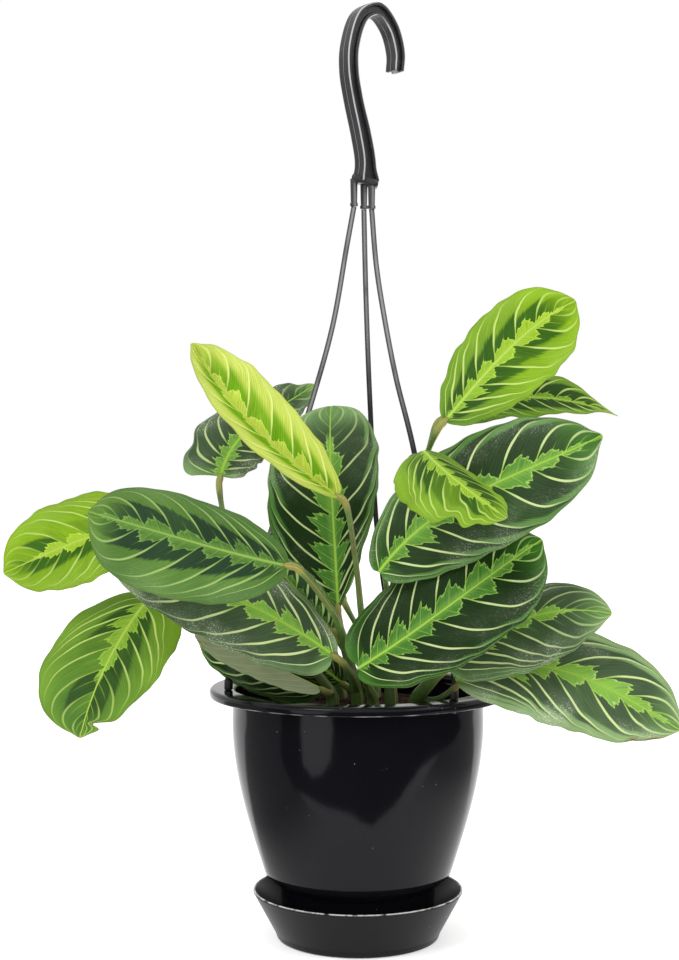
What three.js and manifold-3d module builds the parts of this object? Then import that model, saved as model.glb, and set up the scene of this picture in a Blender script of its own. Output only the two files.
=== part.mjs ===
// A prayer plant in a hanging pot: pot, saucer, soil, moulded hanger, leafy shoots and leaves.
// Millimetres, +Z up. The origin is the centre of the saucer's underside, and the front is -Y.
import * as THREE from 'three';
import { mergeVertices } from 'three/addons/utils/BufferGeometryUtils.js';
import Module from 'manifold-3d';

const wasm = await Module();
wasm.setup();

// Driving dimensions
const GAP = 0.3;
const POT = { rimRadius: 82.5, rimTop: 139, neckRadius: 69.8, neckTop: 126, wall: 1.8, footRadius: 41.5 };
const BELLY = [[51.5, 36], [61.5, 66], [71, 96], [POT.neckRadius, POT.neckTop]];
const LIP = { drop: 5, round: 2.2, web: 2 };
const SAUCER = { lipRadius: 58.5, lipTop: 27, footRadius: 45.5, wall: 1.8, floor: 2.2 };
const SOIL = { edge: 125, mound: 8 };
const TURN_STEPS = 36;
const STRAND_RADIUS = 1.5;
const RIM_HOLES = [
  { name: 'strand_left', x: -71, y: -16.4 },
  { name: 'strand_right', x: 49.8, y: -53.4 },
  { name: 'strand_back', x: 21.3, y: 69.8 },
];
const BLADE = { thickness: 0.8, rows: 9, cells: 6, endHalf: 1.3 };

// Finishes
const finish = (color, roughness) => new THREE.MeshStandardMaterial({
  color, roughness, metalness: 0, side: THREE.FrontSide,
});
const GLOSS_BLACK = finish(0x0b0b0d, 0.18);
const SATIN_BLACK = finish(0x17181a, 0.5);
const HANGER_GREY = finish(0x2b2f32, 0.42);
const EARTH = finish(0x3a2318, 0.95);
const STEM = finish(0x5d7a33, 0.55);
const LEMON = finish(0xc3e238, 0.5);
const LIME = finish(0x7fc52a, 0.48);
const GREEN = finish(0x4d8a3a, 0.45);
const DARK = finish(0x2f5a30, 0.42);

const plant = new THREE.Group();

const degrees = THREE.MathUtils.degToRad;
const vector = ([x, y, z]) => new THREE.Vector3(x, y, z);
const curveThrough = (points) => new THREE.CatmullRomCurve3(points.map(vector), false, 'centripetal');

function place(name, geometry, material) {
  const mesh = new THREE.Mesh(geometry, material);
  mesh.name = name;
  plant.add(mesh);
  return mesh;
}

// Solids for joining and cutting
function solidOf(geometry) {
  const bare = geometry.clone();
  bare.deleteAttribute('normal');
  bare.deleteAttribute('uv');
  const merged = mergeVertices(bare, 1e-4);
  return new wasm.Manifold(new wasm.Mesh({
    numProp: 3,
    vertProperties: new Float32Array(merged.attributes.position.array),
    triVerts: new Uint32Array(merged.index.array),
  }));
}

function geometryOf(solid) {
  const mesh = solid.getMesh();
  const geometry = new THREE.BufferGeometry();
  geometry.setAttribute('position', new THREE.BufferAttribute(new Float32Array(mesh.vertProperties), 3));
  geometry.setIndex(new THREE.BufferAttribute(new Uint32Array(mesh.triVerts), 1));
  geometry.computeVertexNormals();
  return geometry;
}

// Round pieces turned about the Z axis from a list of [radius, height] points, from the axis to the axis
function turned(profile, steps = TURN_STEPS) {
  const geometry = new THREE.LatheGeometry(profile.map(([r, z]) => new THREE.Vector2(r, z)), steps);
  geometry.rotateX(Math.PI / 2);
  return geometry;
}

function post(x, y, bottom, top, radius, sides = 12) {
  const geometry = new THREE.CylinderGeometry(radius, radius, top - bottom, sides);
  geometry.rotateX(Math.PI / 2);
  geometry.translate(x, y, (bottom + top) / 2);
  return geometry;
}

// A section carried along a curve, with flat ends. section(share) gives the points [across, up] at a
// share of the length, counter-clockwise as seen from the far end. The curve of a flat piece has one
// direction square to its plane, which is then up all along.
function swept(curve, steps, section, square) {
  const frames = curve.computeFrenetFrames(steps, false);
  const positions = [];
  const index = [];
  const sides = section(0).length;
  for (let i = 0; i <= steps; i += 1) {
    const centre = curve.getPointAt(i / steps);
    const upward = square ?? frames.binormals[i];
    const sideways = new THREE.Vector3().crossVectors(upward, frames.tangents[i]);
    for (const [across, up] of section(i / steps)) {
      const point = centre.clone().addScaledVector(sideways, across).addScaledVector(upward, up);
      positions.push(point.x, point.y, point.z);
    }
  }
  for (let i = 0; i < steps; i += 1) {
    for (let k = 0; k < sides; k += 1) {
      const a = i * sides + k;
      const b = i * sides + ((k + 1) % sides);
      index.push(a, b, a + sides, b, b + sides, a + sides);
    }
  }
  const last = steps * sides;
  for (let k = 1; k < sides - 1; k += 1) {
    index.push(0, k + 1, k);
    index.push(last, last + k, last + k + 1);
  }
  const geometry = new THREE.BufferGeometry();
  geometry.setAttribute('position', new THREE.BufferAttribute(new Float32Array(positions), 3));
  geometry.setIndex(index);
  geometry.computeVertexNormals();
  return geometry;
}

const circle = (radius, sides) => Array.from({ length: sides }, (_, k) => {
  const angle = (2 * Math.PI * k) / sides;
  return [radius * Math.cos(angle), radius * Math.sin(angle)];
});

// Pot: a belly on a narrow foot, with a flat flange that ends in a rounded lip turned down
const bellyCurve = new THREE.CubicBezierCurve(...BELLY.map(([r, z]) => new THREE.Vector2(r, z)));
const bellyPoints = (inward, steps) => bellyCurve.getPoints(steps).map((p) => [p.x - inward, p.y]);

function potGeometry() {
  const { rimRadius, rimTop, neckRadius, neckTop, wall, footRadius } = POT;
  const foot = SAUCER.floor + GAP;
  const under = rimTop - LIP.web;
  const lip = LIP.round;
  const outside = [
    [0, foot + 1.5],
    [footRadius - 3, foot + 1.5],
    [footRadius - 2, foot],
    [footRadius, foot],
    [footRadius + 1.5, 29],
    [48, 33],
    ...bellyPoints(0, 5),
    [neckRadius, under],
    [rimRadius - 2, under],
    [rimRadius - 1.8, rimTop - LIP.drop],
    [rimRadius - 0.5, rimTop - LIP.drop],
    [rimRadius, rimTop - LIP.drop + 1],
    [rimRadius, rimTop - lip],
    [rimRadius - lip * 0.3, rimTop - lip * 0.3],
    [rimRadius - lip, rimTop],
    [neckRadius + 1, rimTop],
    [neckRadius - wall, rimTop - 1.2],
  ];
  const inside = [
    ...bellyPoints(wall, 5).reverse(),
    [47, 35.5],
    [footRadius - wall + 1, 31],
    [footRadius - wall, foot + 3],
    [0, foot + 3],
  ];
  let pot = solidOf(turned([...outside, ...inside]));
  for (const hole of RIM_HOLES) {
    pot = pot.subtract(solidOf(post(hole.x, hole.y, under - 2, rimTop + 2, STRAND_RADIUS + 0.5)));
  }
  return geometryOf(pot);
}
place('pot', potGeometry(), GLOSS_BLACK);

// Saucer: a straight flared wall on a rounded foot, open at the top
function saucerGeometry() {
  const { lipRadius, lipTop, footRadius, wall, floor } = SAUCER;
  return turned([
    [0, 0],
    [footRadius - 2.2, 0],
    [footRadius - 0.6, 0.7],
    [footRadius, 2.2],
    [footRadius + 0.6, 4],
    [lipRadius - 0.3, lipTop - 1],
    [lipRadius - 0.4, lipTop - 0.2],
    [lipRadius - 1.2, lipTop],
    [lipRadius - wall, lipTop - 0.8],
    [footRadius - wall + 0.5, 4],
    [footRadius - wall - 0.8, floor],
    [0, floor],
  ]);
}
place('saucer', saucerGeometry(), SATIN_BLACK);

// Leaves. base and tip are the ends of the midrib, and face is where the upper side looks. half holds
// the left and right half-widths, measured over the surface, and wide moves their widest places along
// (1 is halfway, more is nearer the tip). bow holds how far the midrib's two control points stand off the
// straight line, [up, right, up, right]. left and right are the slopes of each half in degrees, at the
// midrib and at the margin. round is the fullness of the outline, and point how drawn out its tip is.
const LEAVES = [
  { name: 'leaf_lemon', look: LEMON, base: [-11, -62, 246], tip: [-87, -50, 324], face: [20, -90, 30],
    half: [22, 22], wide: [1.05, 1.2], bow: [3, -9, 3, -10], left: [55, 35], right: [35, 12],
    wave: [1, 3, 0] },
  { name: 'leaf_back_left', look: DARK, base: [-78, 20, 255], tip: [-26, 40, 308], face: [-10, -90, 30],
    half: [27, 21], wide: [0.42, 0.7], bow: [2, -17, 4, -2], left: [10, -30], right: [10, -20],
    wave: [1.5, 4, 0], point: 0.7 },
  { name: 'leaf_far_left', look: LIME, base: [-114, -20, 234], tip: [-188, -40, 205], face: [-20, -85, 50],
    half: [26, 31], wide: [1.1, 1.05], bow: [4, 0, 4, 0], left: [5, -15], right: [5, -15],
    wave: [0.8, 3, 0], round: 2.5 },
  { name: 'leaf_front_left', look: GREEN, base: [-36, -95, 212], tip: [-134, -100, 239], face: [5, -90, 30],
    half: [31, 32], wide: [1.3, 1.3], bow: [3, -3, 3, -1], left: [5, -15], right: [-20, -45],
    wave: [1, 3, 0], round: 2.5 },
  { name: 'leaf_mid_left', look: DARK, base: [-13, -62, 163], tip: [-127, -70, 211], face: [-10, -80, 50],
    half: [27, 25], wide: [0.8, 1.2], bow: [5, 9, 5, 9], left: [5, -15], right: [5, -15],
    wave: [1, 3, 0] },
  { name: 'leaf_low_left', look: LIME, base: [-113, -25, 191], tip: [-143, -75, 124], face: [-20, -70, 30],
    half: [31, 37], wide: [0.7, 1.12], bow: [4, 4, 6, 4], left: [5, -15], right: [5, -15],
    wave: [1, 3, 0] },
  { name: 'leaf_rolled', look: DARK, base: [-20, -36, 142], tip: [-87, -28, 170], face: [-40, -25, -85],
    half: [19, 18], wide: [1, 1], bow: [3, 0, 3, 0], left: [40, 35], right: [40, 35], wave: [0, 3, 0] },
  { name: 'leaf_centre', look: DARK, base: [-11, -38, 186], tip: [-15, -2, 294], face: [-10, -95, 30],
    half: [36, 27], wide: [1, 1.9], bow: [4, 0, 30, 0], left: [8, -15], right: [8, -20],
    wave: [1, 3, 0], point: 0.48 },
  { name: 'leaf_inner_left', look: GREEN, base: [-15, -46, 175], tip: [-47, -50, 213], face: [-20, -90, 30],
    half: [13, 12], wide: [1, 1], bow: [3, 0, 3, 0], left: [5, -15], right: [5, -15], wave: [0.5, 3, 0] },
  { name: 'leaf_small_lime', look: LIME, base: [32, -90, 270], tip: [69, -128, 238], face: [-10, -80, 50],
    half: [27, 27], wide: [1.1, 0.75], bow: [8, 5, 8, 5], left: [-38, -65], right: [5, -20],
    wave: [1, 3, 0] },
  { name: 'leaf_top_right', look: LIME, base: [44, -70, 285], tip: [111.5, -60, 347.5], face: [-10, -90, 30],
    half: [24, 26.5], wide: [1.45, 1.35], bow: [3, -3, 6, -7], left: [5, -15], right: [5, -15],
    wave: [1, 3, 0], round: 2.4 },
  { name: 'leaf_twisted', look: GREEN, base: [46, -40, 287], tip: [139, -20, 290], face: [0, -70, 70],
    half: [18, 16], wide: [0.9, 0.8], bow: [14, -8, 12, -4], left: [20, 10], right: [10, -10],
    wave: [1, 3, 0], point: 1.2 },
  { name: 'leaf_upper_right', look: DARK, base: [9.7, -70, 206.8], tip: [119.5, -87, 276],
    face: [-5, -95, 10], half: [28.5, 31.5], wide: [1.2, 1], bow: [3, -18, 8, -4], left: [5, -15],
    right: [5, -8], wave: [1, 3, 0] },
  { name: 'leaf_front_right', look: DARK, base: [-1, -75, 158], tip: [91, -86, 224], face: [0, -78, 62],
    half: [36, 32], wide: [0.95, 1.3], bow: [4, 5, 6, 2], left: [0, -20], right: [5, -15],
    wave: [1, 3, 0], round: 2.6 },
  { name: 'leaf_mid_right', look: DARK, base: [45, -64, 158], tip: [127, -80, 187], face: [0, -80, 50],
    half: [27, 28], wide: [1, 1], bow: [6, -10, 8, -14], left: [-10, -50], right: [5, -15],
    wave: [1, 3, 0] },
  { name: 'leaf_low_right', look: DARK, base: [50, -62, 150], tip: [161, -85, 129], face: [10, -80, 60],
    half: [31, 32], wide: [1.1, 1], bow: [8, -30, 6, -12], left: [5, -15], right: [5, -15],
    wave: [1, 3, 0] },
  { name: 'leaf_low_inner', look: DARK, base: [-8, -14, 142], tip: [-43, -13, 170], face: [0, -95, 10],
    half: [13, 13], wide: [1, 1], bow: [1, 0, 1, 0], left: [8, -12], right: [8, -12], wave: [0.5, 3, 0] },
  { name: 'leaf_rear_right', look: DARK, base: [22, 32, 186], tip: [98, 88, 212], face: [10, 60, 70],
    half: [27, 27], wide: [1, 1.1], bow: [8, 0, 10, 0], left: [10, -20], right: [10, -20],
    wave: [1, 3, 0] },
  { name: 'leaf_rear_left', look: GREEN, base: [-22, 24, 184], tip: [-104, 74, 204], face: [-10, 60, 70],
    half: [27, 27], wide: [1.1, 1], bow: [6, 0, 10, 0], left: [10, -20], right: [10, -20],
    wave: [1, 3, 0] },
  { name: 'leaf_rear_middle', look: LIME, base: [-8, 30, 186], tip: [-30, 90, 234], face: [0, 80, 50],
    half: [21, 21], wide: [1, 1], bow: [6, 0, 10, 0], left: [15, -15], right: [15, -15],
    wave: [1, 3, 0] },
  { name: 'leaf_rear_low_right', look: DARK, base: [36, 36, 152], tip: [88, 94, 131], face: [20, 30, 90],
    half: [25, 25], wide: [1, 1], bow: [14, 0, 14, 0], left: [10, -20], right: [10, -20],
    wave: [1, 3, 0] },
  { name: 'leaf_rear_low_left', look: DARK, base: [-26, 42, 152], tip: [-58, 106, 118], face: [-10, 40, 90],
    half: [25, 25], wide: [1, 1], bow: [16, 0, 16, 0], left: [10, -20], right: [10, -20],
    wave: [1, 3, 0] },
];

// The width of one half (0 left, 1 right) at a share t of the length: a swollen ellipse with its widest
// place moved along
function halfWidth(leaf, t, half) {
  const share = t ** leaf.wide[half];
  const full = leaf.round ?? 2.2;
  const power = share < 0.5 ? 1 / full : (leaf.point ?? 0.55);
  const rise = Math.max(0, 1 - Math.abs(2 * share - 1) ** full) ** power;
  return Math.max(leaf.half[half] * rise, BLADE.endHalf);
}

function bladeFrame(leaf) {
  const base = vector(leaf.base);
  const tip = vector(leaf.tip);
  const along = tip.clone().sub(base).normalize();
  const face = vector(leaf.face);
  face.addScaledVector(along, -face.dot(along)).normalize();
  const right = new THREE.Vector3().crossVectors(along, face);
  const [up1, right1, up2, right2] = leaf.bow;
  const control = (share, up, side) => base.clone().lerp(tip, share).addScaledVector(face, up)
    .addScaledVector(right, side);
  const first = control(1 / 3, up1, right1);
  const second = control(2 / 3, up2, right2);
  const midrib = new THREE.CubicBezierCurve3(base, first, second, tip);
  return { midrib, face, right };
}

// A point of the blade at a share t along the midrib, and across from -1 (left margin) to 1 (right margin)
function bladePoint(leaf, frame, t, across) {
  const tangent = frame.midrib.getTangent(t);
  const right = frame.right.clone().addScaledVector(tangent, -frame.right.dot(tangent)).normalize();
  const normal = new THREE.Vector3().crossVectors(right, tangent);
  const half = across < 0 ? 0 : 1;
  const full = leaf.half[half];
  const width = halfWidth(leaf, t, half);
  const [start, end] = [leaf.left, leaf.right][half].map(degrees);
  const bend = (end - start) / full || 1e-6;
  const reach = Math.abs(across) * width;
  const slope = start + bend * reach;
  const out = (Math.sin(slope) - Math.sin(start)) / bend;
  const [height, count, phase] = leaf.wave;
  const ripple = Math.sin(2 * Math.PI * (count * t + phase + 0.37 * half));
  const rise = (Math.cos(start) - Math.cos(slope)) / bend
    + height * Math.abs(across) ** 3 * ripple * Math.min(1, (2 * width) / full);
  const sign = Math.sign(across);
  const point = frame.midrib.getPoint(t);
  point.addScaledVector(right, sign * out).addScaledVector(normal, rise);
  const outward = normal.clone().multiplyScalar(Math.cos(slope));
  outward.addScaledVector(right, -sign * Math.sin(slope));
  return { point, outward: across === 0 ? normal : outward };
}

function bladeGeometry(leaf) {
  const frame = bladeFrame(leaf);
  const { rows, cells, thickness } = BLADE;
  const across = cells + 1;
  const faces = [[], []];
  const start = GAP / frame.midrib.getLength();
  for (let i = 0; i <= rows; i += 1) {
    const t = start + (1 - start) * (1 - Math.cos((Math.PI * i) / rows)) / 2;
    for (let k = 0; k <= cells; k += 1) {
      const { point, outward } = bladePoint(leaf, frame, t, (2 * k) / cells - 1);
      faces[0].push(point.clone().addScaledVector(outward, thickness / 2));
      faces[1].push(point.clone().addScaledVector(outward, -thickness / 2));
    }
  }
  const index = [];
  const back = faces[0].length;
  for (let i = 0; i < rows; i += 1) {
    for (let k = 0; k < cells; k += 1) {
      const a = i * across + k;
      const b = a + 1;
      const c = a + across;
      const d = c + 1;
      index.push(a, b, c, b, d, c);
      index.push(back + a, back + c, back + b, back + b, back + c, back + d);
    }
  }
  const edge = (a, b) => index.push(a, back + a, b, b, back + a, back + b);
  for (let i = 0; i < rows; i += 1) {
    edge((i + 1) * across, i * across);
    edge(i * across + cells, (i + 1) * across + cells);
  }
  for (let k = 0; k < cells; k += 1) {
    edge(k, k + 1);
    edge(rows * across + k + 1, rows * across + k);
  }
  const geometry = new THREE.BufferGeometry();
  const points = [...faces[0], ...faces[1]].flatMap((p) => [p.x, p.y, p.z]);
  geometry.setAttribute('position', new THREE.BufferAttribute(new Float32Array(points), 3));
  geometry.setIndex(index);
  geometry.computeVertexNormals();
  return geometry;
}

for (const leaf of LEAVES) {
  place(leaf.name, bladeGeometry(leaf), leaf.look);
}

// Shoots: each is one stem with its leaf stalks, given as lists of [x, y, z, radius]. The first list of a
// shoot is the stem, which stands upright in the soil, and a stalk ends at the base of its blade.
const STALK = 1.5;
const KNUCKLE = { radius: 2.2, neck: 1.8, length: 6 };
const STEM_FOOT = 110;
const stemAt = (x, y, radius) => [STEM_FOOT, 124, 136].map((z) => [x, y, z, radius]);

// A stalk comes to its blade in line with the midrib, through the thicker knuckle under the blade
function stalkTo(name, ...points) {
  const { midrib } = bladeFrame(LEAVES.find((leaf) => leaf.name === name));
  const base = midrib.getPoint(0);
  const knuckle = base.clone().addScaledVector(midrib.getTangent(0), -KNUCKLE.length);
  return [...points, [...knuckle.toArray(), KNUCKLE.neck], [...base.toArray(), KNUCKLE.radius]];
}

const SHOOTS = [
  { name: 'shoot_left', lists: [
    stalkTo('leaf_front_left', ...stemAt(0, -26, 3.2), [-3, -31, 149, 3], [-7, -39, 165, 2.8],
      [-10, -54, 177, 2.2], [-15, -74, 189, 1.8]),
    stalkTo('leaf_centre', [-6, -36, 160, 1.8], [-8, -38, 170, STALK]),
    stalkTo('leaf_mid_left', [-1, -28, 141, 2], [-3, -42, 149, 1.8]),
    stalkTo('leaf_inner_left', [-6, -36, 160, 1.6]),
    stalkTo('leaf_low_inner', [-1, -27, 140, 1.6], [-2, -20, 142, STALK]),
  ] },
  { name: 'shoot_lemon', lists: [
    stalkTo('leaf_lemon', ...stemAt(8, -20, 2.6), [4, -33, 158, 2.2], [1, -50, 187, 1.8],
      [-2, -59, 214, STALK]),
  ] },
  { name: 'shoot_back_left', lists: [
    stalkTo('leaf_back_left', ...stemAt(-9, -2, 2.4), [-19, -2, 153, 2], [-46, 2, 182, 1.8],
      [-70, 10, 215, STALK]),
  ] },
  { name: 'shoot_low_left', lists: [
    stalkTo('leaf_far_left', ...stemAt(-14, -22, 2.8), [-23, -24, 150, 2.4], [-48, -28, 179, 1.8],
      [-75, -26, 206, STALK]),
    stalkTo('leaf_low_left', [-30, -26, 159, 1.8], [-46, -28, 168, STALK], [-74, -30, 184, STALK]),
    stalkTo('leaf_rolled', [-14, -23, 139, 1.8]),
  ] },
  { name: 'shoot_right', lists: [
    stalkTo('leaf_top_right', ...stemAt(18, -24, 3.2), [17, -25, 160, 2.8], [19, -27, 195, 2.2],
      [25, -33, 235, 1.8], [33.5, -50, 262, STALK]),
    stalkTo('leaf_upper_right', [17, -25, 152, 2], [12, -32, 174, 1.8], [9, -50, 194, STALK]),
    stalkTo('leaf_small_lime', [19, -27, 195, 1.8], [21, -33, 225, STALK], [23, -45, 250, STALK],
      [27, -67, 266, STALK]),
    stalkTo('leaf_twisted', [19, -27, 195, 1.8], [25, -34, 235, STALK], [35.5, -46, 265, STALK]),
  ] },
  { name: 'shoot_front', lists: [
    stalkTo('leaf_front_right', ...stemAt(8, -36, 2.6), [4, -50, 147, 2]),
  ] },
  { name: 'shoot_rim', lists: [
    stalkTo('leaf_mid_right', ...stemAt(28, -40, 2.8), [32, -49, 147, 2.2]),
    stalkTo('leaf_low_right', [28.5, -41, 138, 1.8], [36, -50, 142, STALK]),
  ] },
  { name: 'shoot_rear', lists: [
    stalkTo('leaf_rear_right', ...stemAt(10, 12, 2.8), [11, 16, 152, 2.4], [14, 24, 172, 1.8]),
    stalkTo('leaf_rear_middle', [11, 16, 150, 1.8], [2, 22, 166, STALK]),
    stalkTo('leaf_rear_low_right', [10, 14, 142, 1.8], [20, 22, 146, STALK]),
  ] },
  { name: 'shoot_rear_left', lists: [
    stalkTo('leaf_rear_left', ...stemAt(-12, 16, 2.6), [-13, 17, 152, 2.2], [-14, 19, 170, 1.8]),
    stalkTo('leaf_rear_low_left', [-12, 17, 140, 1.8], [-17, 26, 145, STALK]),
  ] },
];
const STALK_SIDES = 6;

// A stalk: a round section whose radius runs through the list's radii
function stalkGeometry(list) {
  const curve = curveThrough(list);
  const lengths = curve.getLengths(list.length - 1);
  const steps = Math.max(4, Math.round(lengths.at(-1) / 12));
  const knots = list.map((_, k) => k / (list.length - 1));
  const radiusAt = (share) => {
    const t = curve.getUtoTmapping(share);
    const k = Math.min(knots.length - 2, Math.floor(t * (knots.length - 1)));
    return THREE.MathUtils.lerp(list[k][3], list[k + 1][3], t * (knots.length - 1) - k);
  };
  return swept(curve, steps, (share) => circle(radiusAt(share), STALK_SIDES));
}

for (const shoot of SHOOTS) {
  const stalks = shoot.lists.map((list) => solidOf(stalkGeometry(list)));
  const solid = stalks.reduce((sum, next) => sum.add(next));
  place(shoot.name, geometryOf(solid), STEM);
}

// Soil: fills the pot to a mound, with a plain hole round each stem
function soilGeometry() {
  const { wall, footRadius } = POT;
  const clear = wall + GAP;
  const side = bellyPoints(clear, 5);
  const top = side.at(-1)[0];
  const bottom = SAUCER.floor + GAP + 3 + GAP;
  const mound = [1, 0.85, 0.6, 0.3, 0].map((share) => [
    top * share, SOIL.edge + SOIL.mound * (1 - share ** 2),
  ]);
  let soil = solidOf(turned([
    [0, bottom],
    [footRadius - clear, bottom],
    [footRadius - clear + 1, 31.5],
    [46.5, 35.8],
    ...side,
    ...mound,
  ]));
  for (const shoot of SHOOTS) {
    const [x, y, , radius] = shoot.lists[0][0];
    soil = soil.subtract(solidOf(post(x, y, STEM_FOOT - GAP, POT.rimTop, radius + GAP)));
  }
  return geometryOf(soil);
}
place('soil', soilGeometry(), EARTH);

// Hanger strands: rods from under the hook to a peg in each rim hole
const STRANDS = {
  strand_left: [[-2.2, 1, 406], [-4.5, 1, 384], [-14, 1, 340], [-25.5, 0, 298], [-47.5, -7, 228]],
  strand_right: [[7.6, -3, 404], [10.2, -5.9, 372], [15, -11.6, 340], [20.6, -18, 310], [29.9, -29.4, 270]],
  strand_back: [[3.4, 4, 405], [4, 8, 380], [4.8, 15, 355], [7.2, 31, 300], [12, 51, 221]],
};
const PEG = { radius: 2.4, height: 7, shank: 1.7, barb: 2.9, barbLength: 5 };

function strandGeometry(hole) {
  const top = POT.rimTop + GAP;
  const end = [[hole.x, hole.y, top + PEG.height + 6], [hole.x, hole.y, top + 2]];
  const points = [...STRANDS[hole.name], ...end];
  const curve = curveThrough(points);
  const section = new THREE.Shape(circle(STRAND_RADIUS, 8).map(([x, y]) => new THREE.Vector2(x, y)));
  const rod = new THREE.ExtrudeGeometry(section, { steps: 20, extrudePath: curve, bevelEnabled: false });
  const under = POT.rimTop - LIP.web - GAP;
  const peg = turned([
    [0, under - PEG.barbLength],
    [1, under - PEG.barbLength],
    [PEG.barb, under - 1],
    [PEG.barb, under],
    [PEG.shank, under],
    [PEG.shank, top],
    [PEG.radius, top],
    [PEG.radius, top + PEG.height - 2],
    [STRAND_RADIUS * 0.8, top + PEG.height],
    [0, top + PEG.height],
  ], 12);
  peg.translate(hole.x, hole.y, 0);
  return geometryOf(solidOf(rod).add(solidOf(peg)));
}
for (const hole of RIM_HOLES) {
  place(hole.name, strandGeometry(hole), HANGER_GREY);
}

// Hanger hook: an open hook of ribbed section on a slanted flange, with a short neck down to each strand.
// Its line is given as [x, z], and the whole hook stands turned about an upright axis.
const HOOK = {
  line: [[21, 484], [21.4, 494], [17.5, 508], [9.9, 516.4], [1, 511.5], [-4.6, 494], [-5, 480], [-2.7, 465],
    [1.6, 446], [4, 432], [4.2, 419.9]],
  half: [3.1, 3.3, 3.5, 3.7, 3.6, 3.5, 3.5, 3.5, 3.8, 4, 4.4],
  turn: degrees(36),
  axis: 4.2,
  depth: 4.8,
  recess: 2.2,
  corner: 0.7,
  rib: 1.7,
  web: 2.1,
};
const FLANGE = { left: [-3.4, 422], right: [11.2, 418], thickness: 3.6, depth: 5.8 };

function hookGeometry() {
  const line = curveThrough(HOOK.line.map(([x, z]) => [x, (x - HOOK.axis) * Math.tan(HOOK.turn), z]));
  const square = new THREE.Vector3(-Math.sin(HOOK.turn), Math.cos(HOOK.turn), 0);
  const halfAt = (share) => {
    const along = line.getUtoTmapping(share) * (HOOK.half.length - 1);
    const k = Math.min(HOOK.half.length - 2, Math.floor(along));
    return THREE.MathUtils.lerp(HOOK.half[k], HOOK.half[k + 1], along - k);
  };
  const { depth, recess, corner, rib, web } = HOOK;
  const section = (share) => {
    const w = halfAt(share);
    const quarter = [[w, depth - corner], [w - corner, depth], [w - rib, depth], [w - web, depth - recess]];
    const mirrored = quarter.map(([across, up]) => [-across, up]).reverse();
    const upper = [...quarter, ...mirrored];
    return [...upper, ...upper.map(([across, up]) => [-across, -up])];
  };
  let hook = solidOf(swept(line, 30, section, square));
  const [ax, az] = FLANGE.left;
  const [bx, bz] = FLANGE.right;
  const plate = new THREE.BoxGeometry(Math.hypot(bx - ax, bz - az), FLANGE.depth * 2, FLANGE.thickness);
  plate.rotateY(-Math.atan2(bz - az, bx - ax));
  plate.translate((ax + bx) / 2, 0, (az + bz) / 2);
  hook = hook.add(solidOf(plate));
  for (const [x, y, z] of Object.values(STRANDS).map((list) => list[0])) {
    const neck = post(x, y, z + GAP, THREE.MathUtils.mapLinear(x, ax, bx, az, bz), STRAND_RADIUS, 8);
    const ring = post(x, y, z + GAP, z + GAP + 2, STRAND_RADIUS + 0.9, 10);
    hook = hook.add(solidOf(neck)).add(solidOf(ring));
  }
  return geometryOf(hook);
}
place('hanger_hook', hookGeometry(), HANGER_GREY);

export default plant;
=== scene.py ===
# %% [markdown]
# A prayer plant in a hanging pot. The solids of the pot, the hanger, the stalks and the leaves are
# already built and placed, so this lesson dresses them: each piece gets a finer surface in the same
# place, and a finish made from shader nodes. The fixed model is loaded first.

# %% Load the fixed model
import bpy
import numpy as np
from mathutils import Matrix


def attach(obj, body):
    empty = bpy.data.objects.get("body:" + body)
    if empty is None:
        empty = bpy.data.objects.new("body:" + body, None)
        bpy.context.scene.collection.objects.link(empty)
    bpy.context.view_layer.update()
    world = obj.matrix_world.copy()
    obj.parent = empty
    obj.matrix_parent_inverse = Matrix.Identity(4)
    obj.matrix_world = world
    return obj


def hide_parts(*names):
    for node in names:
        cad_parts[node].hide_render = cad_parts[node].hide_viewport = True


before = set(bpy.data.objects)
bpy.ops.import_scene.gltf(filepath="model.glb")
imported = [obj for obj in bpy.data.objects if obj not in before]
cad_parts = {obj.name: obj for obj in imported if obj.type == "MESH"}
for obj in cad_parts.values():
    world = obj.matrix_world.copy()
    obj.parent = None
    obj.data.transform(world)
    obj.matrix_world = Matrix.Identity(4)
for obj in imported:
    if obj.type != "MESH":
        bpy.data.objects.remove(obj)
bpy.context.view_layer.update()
MM = 0.001

# %% [markdown]
# Every surface here is a grid of points worked out by a formula, and a few small helpers turn such grids
# into closed meshes. lattice numbers the corners of the grid's squares, facing_out turns a body's faces
# outwards by the sign of its volume, and joined makes one body of several. skin hands the arrays to
# Blender in one go, which is far quicker than adding points one by one, and settle puts the finished
# piece in the place of its solid.

# %% Grids of points made into meshes
def unit(vectors):
    """Each vector divided by its own length."""
    return vectors / np.linalg.norm(vectors, axis=-1, keepdims=True)


def lattice(rows, columns, ring=False):
    """Corner numbers of the squares of a grid. In a ring the last column meets the first."""
    row, column = np.meshgrid(np.arange(rows - 1), np.arange(columns - (not ring)), indexing="ij")
    beside = (column + 1) % columns
    corners = [row * columns + column, row * columns + beside]
    corners += [corners[1] + columns, corners[0] + columns]
    return np.stack(corners, -1).reshape(-1, 4)


def facing_out(points, groups):
    """The groups of faces, with each row turned round if the volume under them is negative. The volume
    is the sum of triple products of corners."""
    volume = 0
    for faces in groups:
        first = points[faces[:, :1]]
        volume += (np.cross(points[faces[:, 1:-1]], points[faces[:, 2:]]) * first).sum()
    return groups if volume > 0 else [faces[:, ::-1] for faces in groups]


def joined(bodies):
    """Several (points, groups, values) bodies as one, with the corner numbers moved up."""
    starts = np.cumsum([0] + [len(points) for points, _, _ in bodies[:-1]])
    points = np.concatenate([points for points, _, _ in bodies])
    groups = [faces + start for start, (_, faces_of, _) in zip(starts, bodies) for faces in faces_of]
    values = {key: np.concatenate([more[key] for _, _, more in bodies]) for key in bodies[0][2]}
    return points, groups, values


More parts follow.
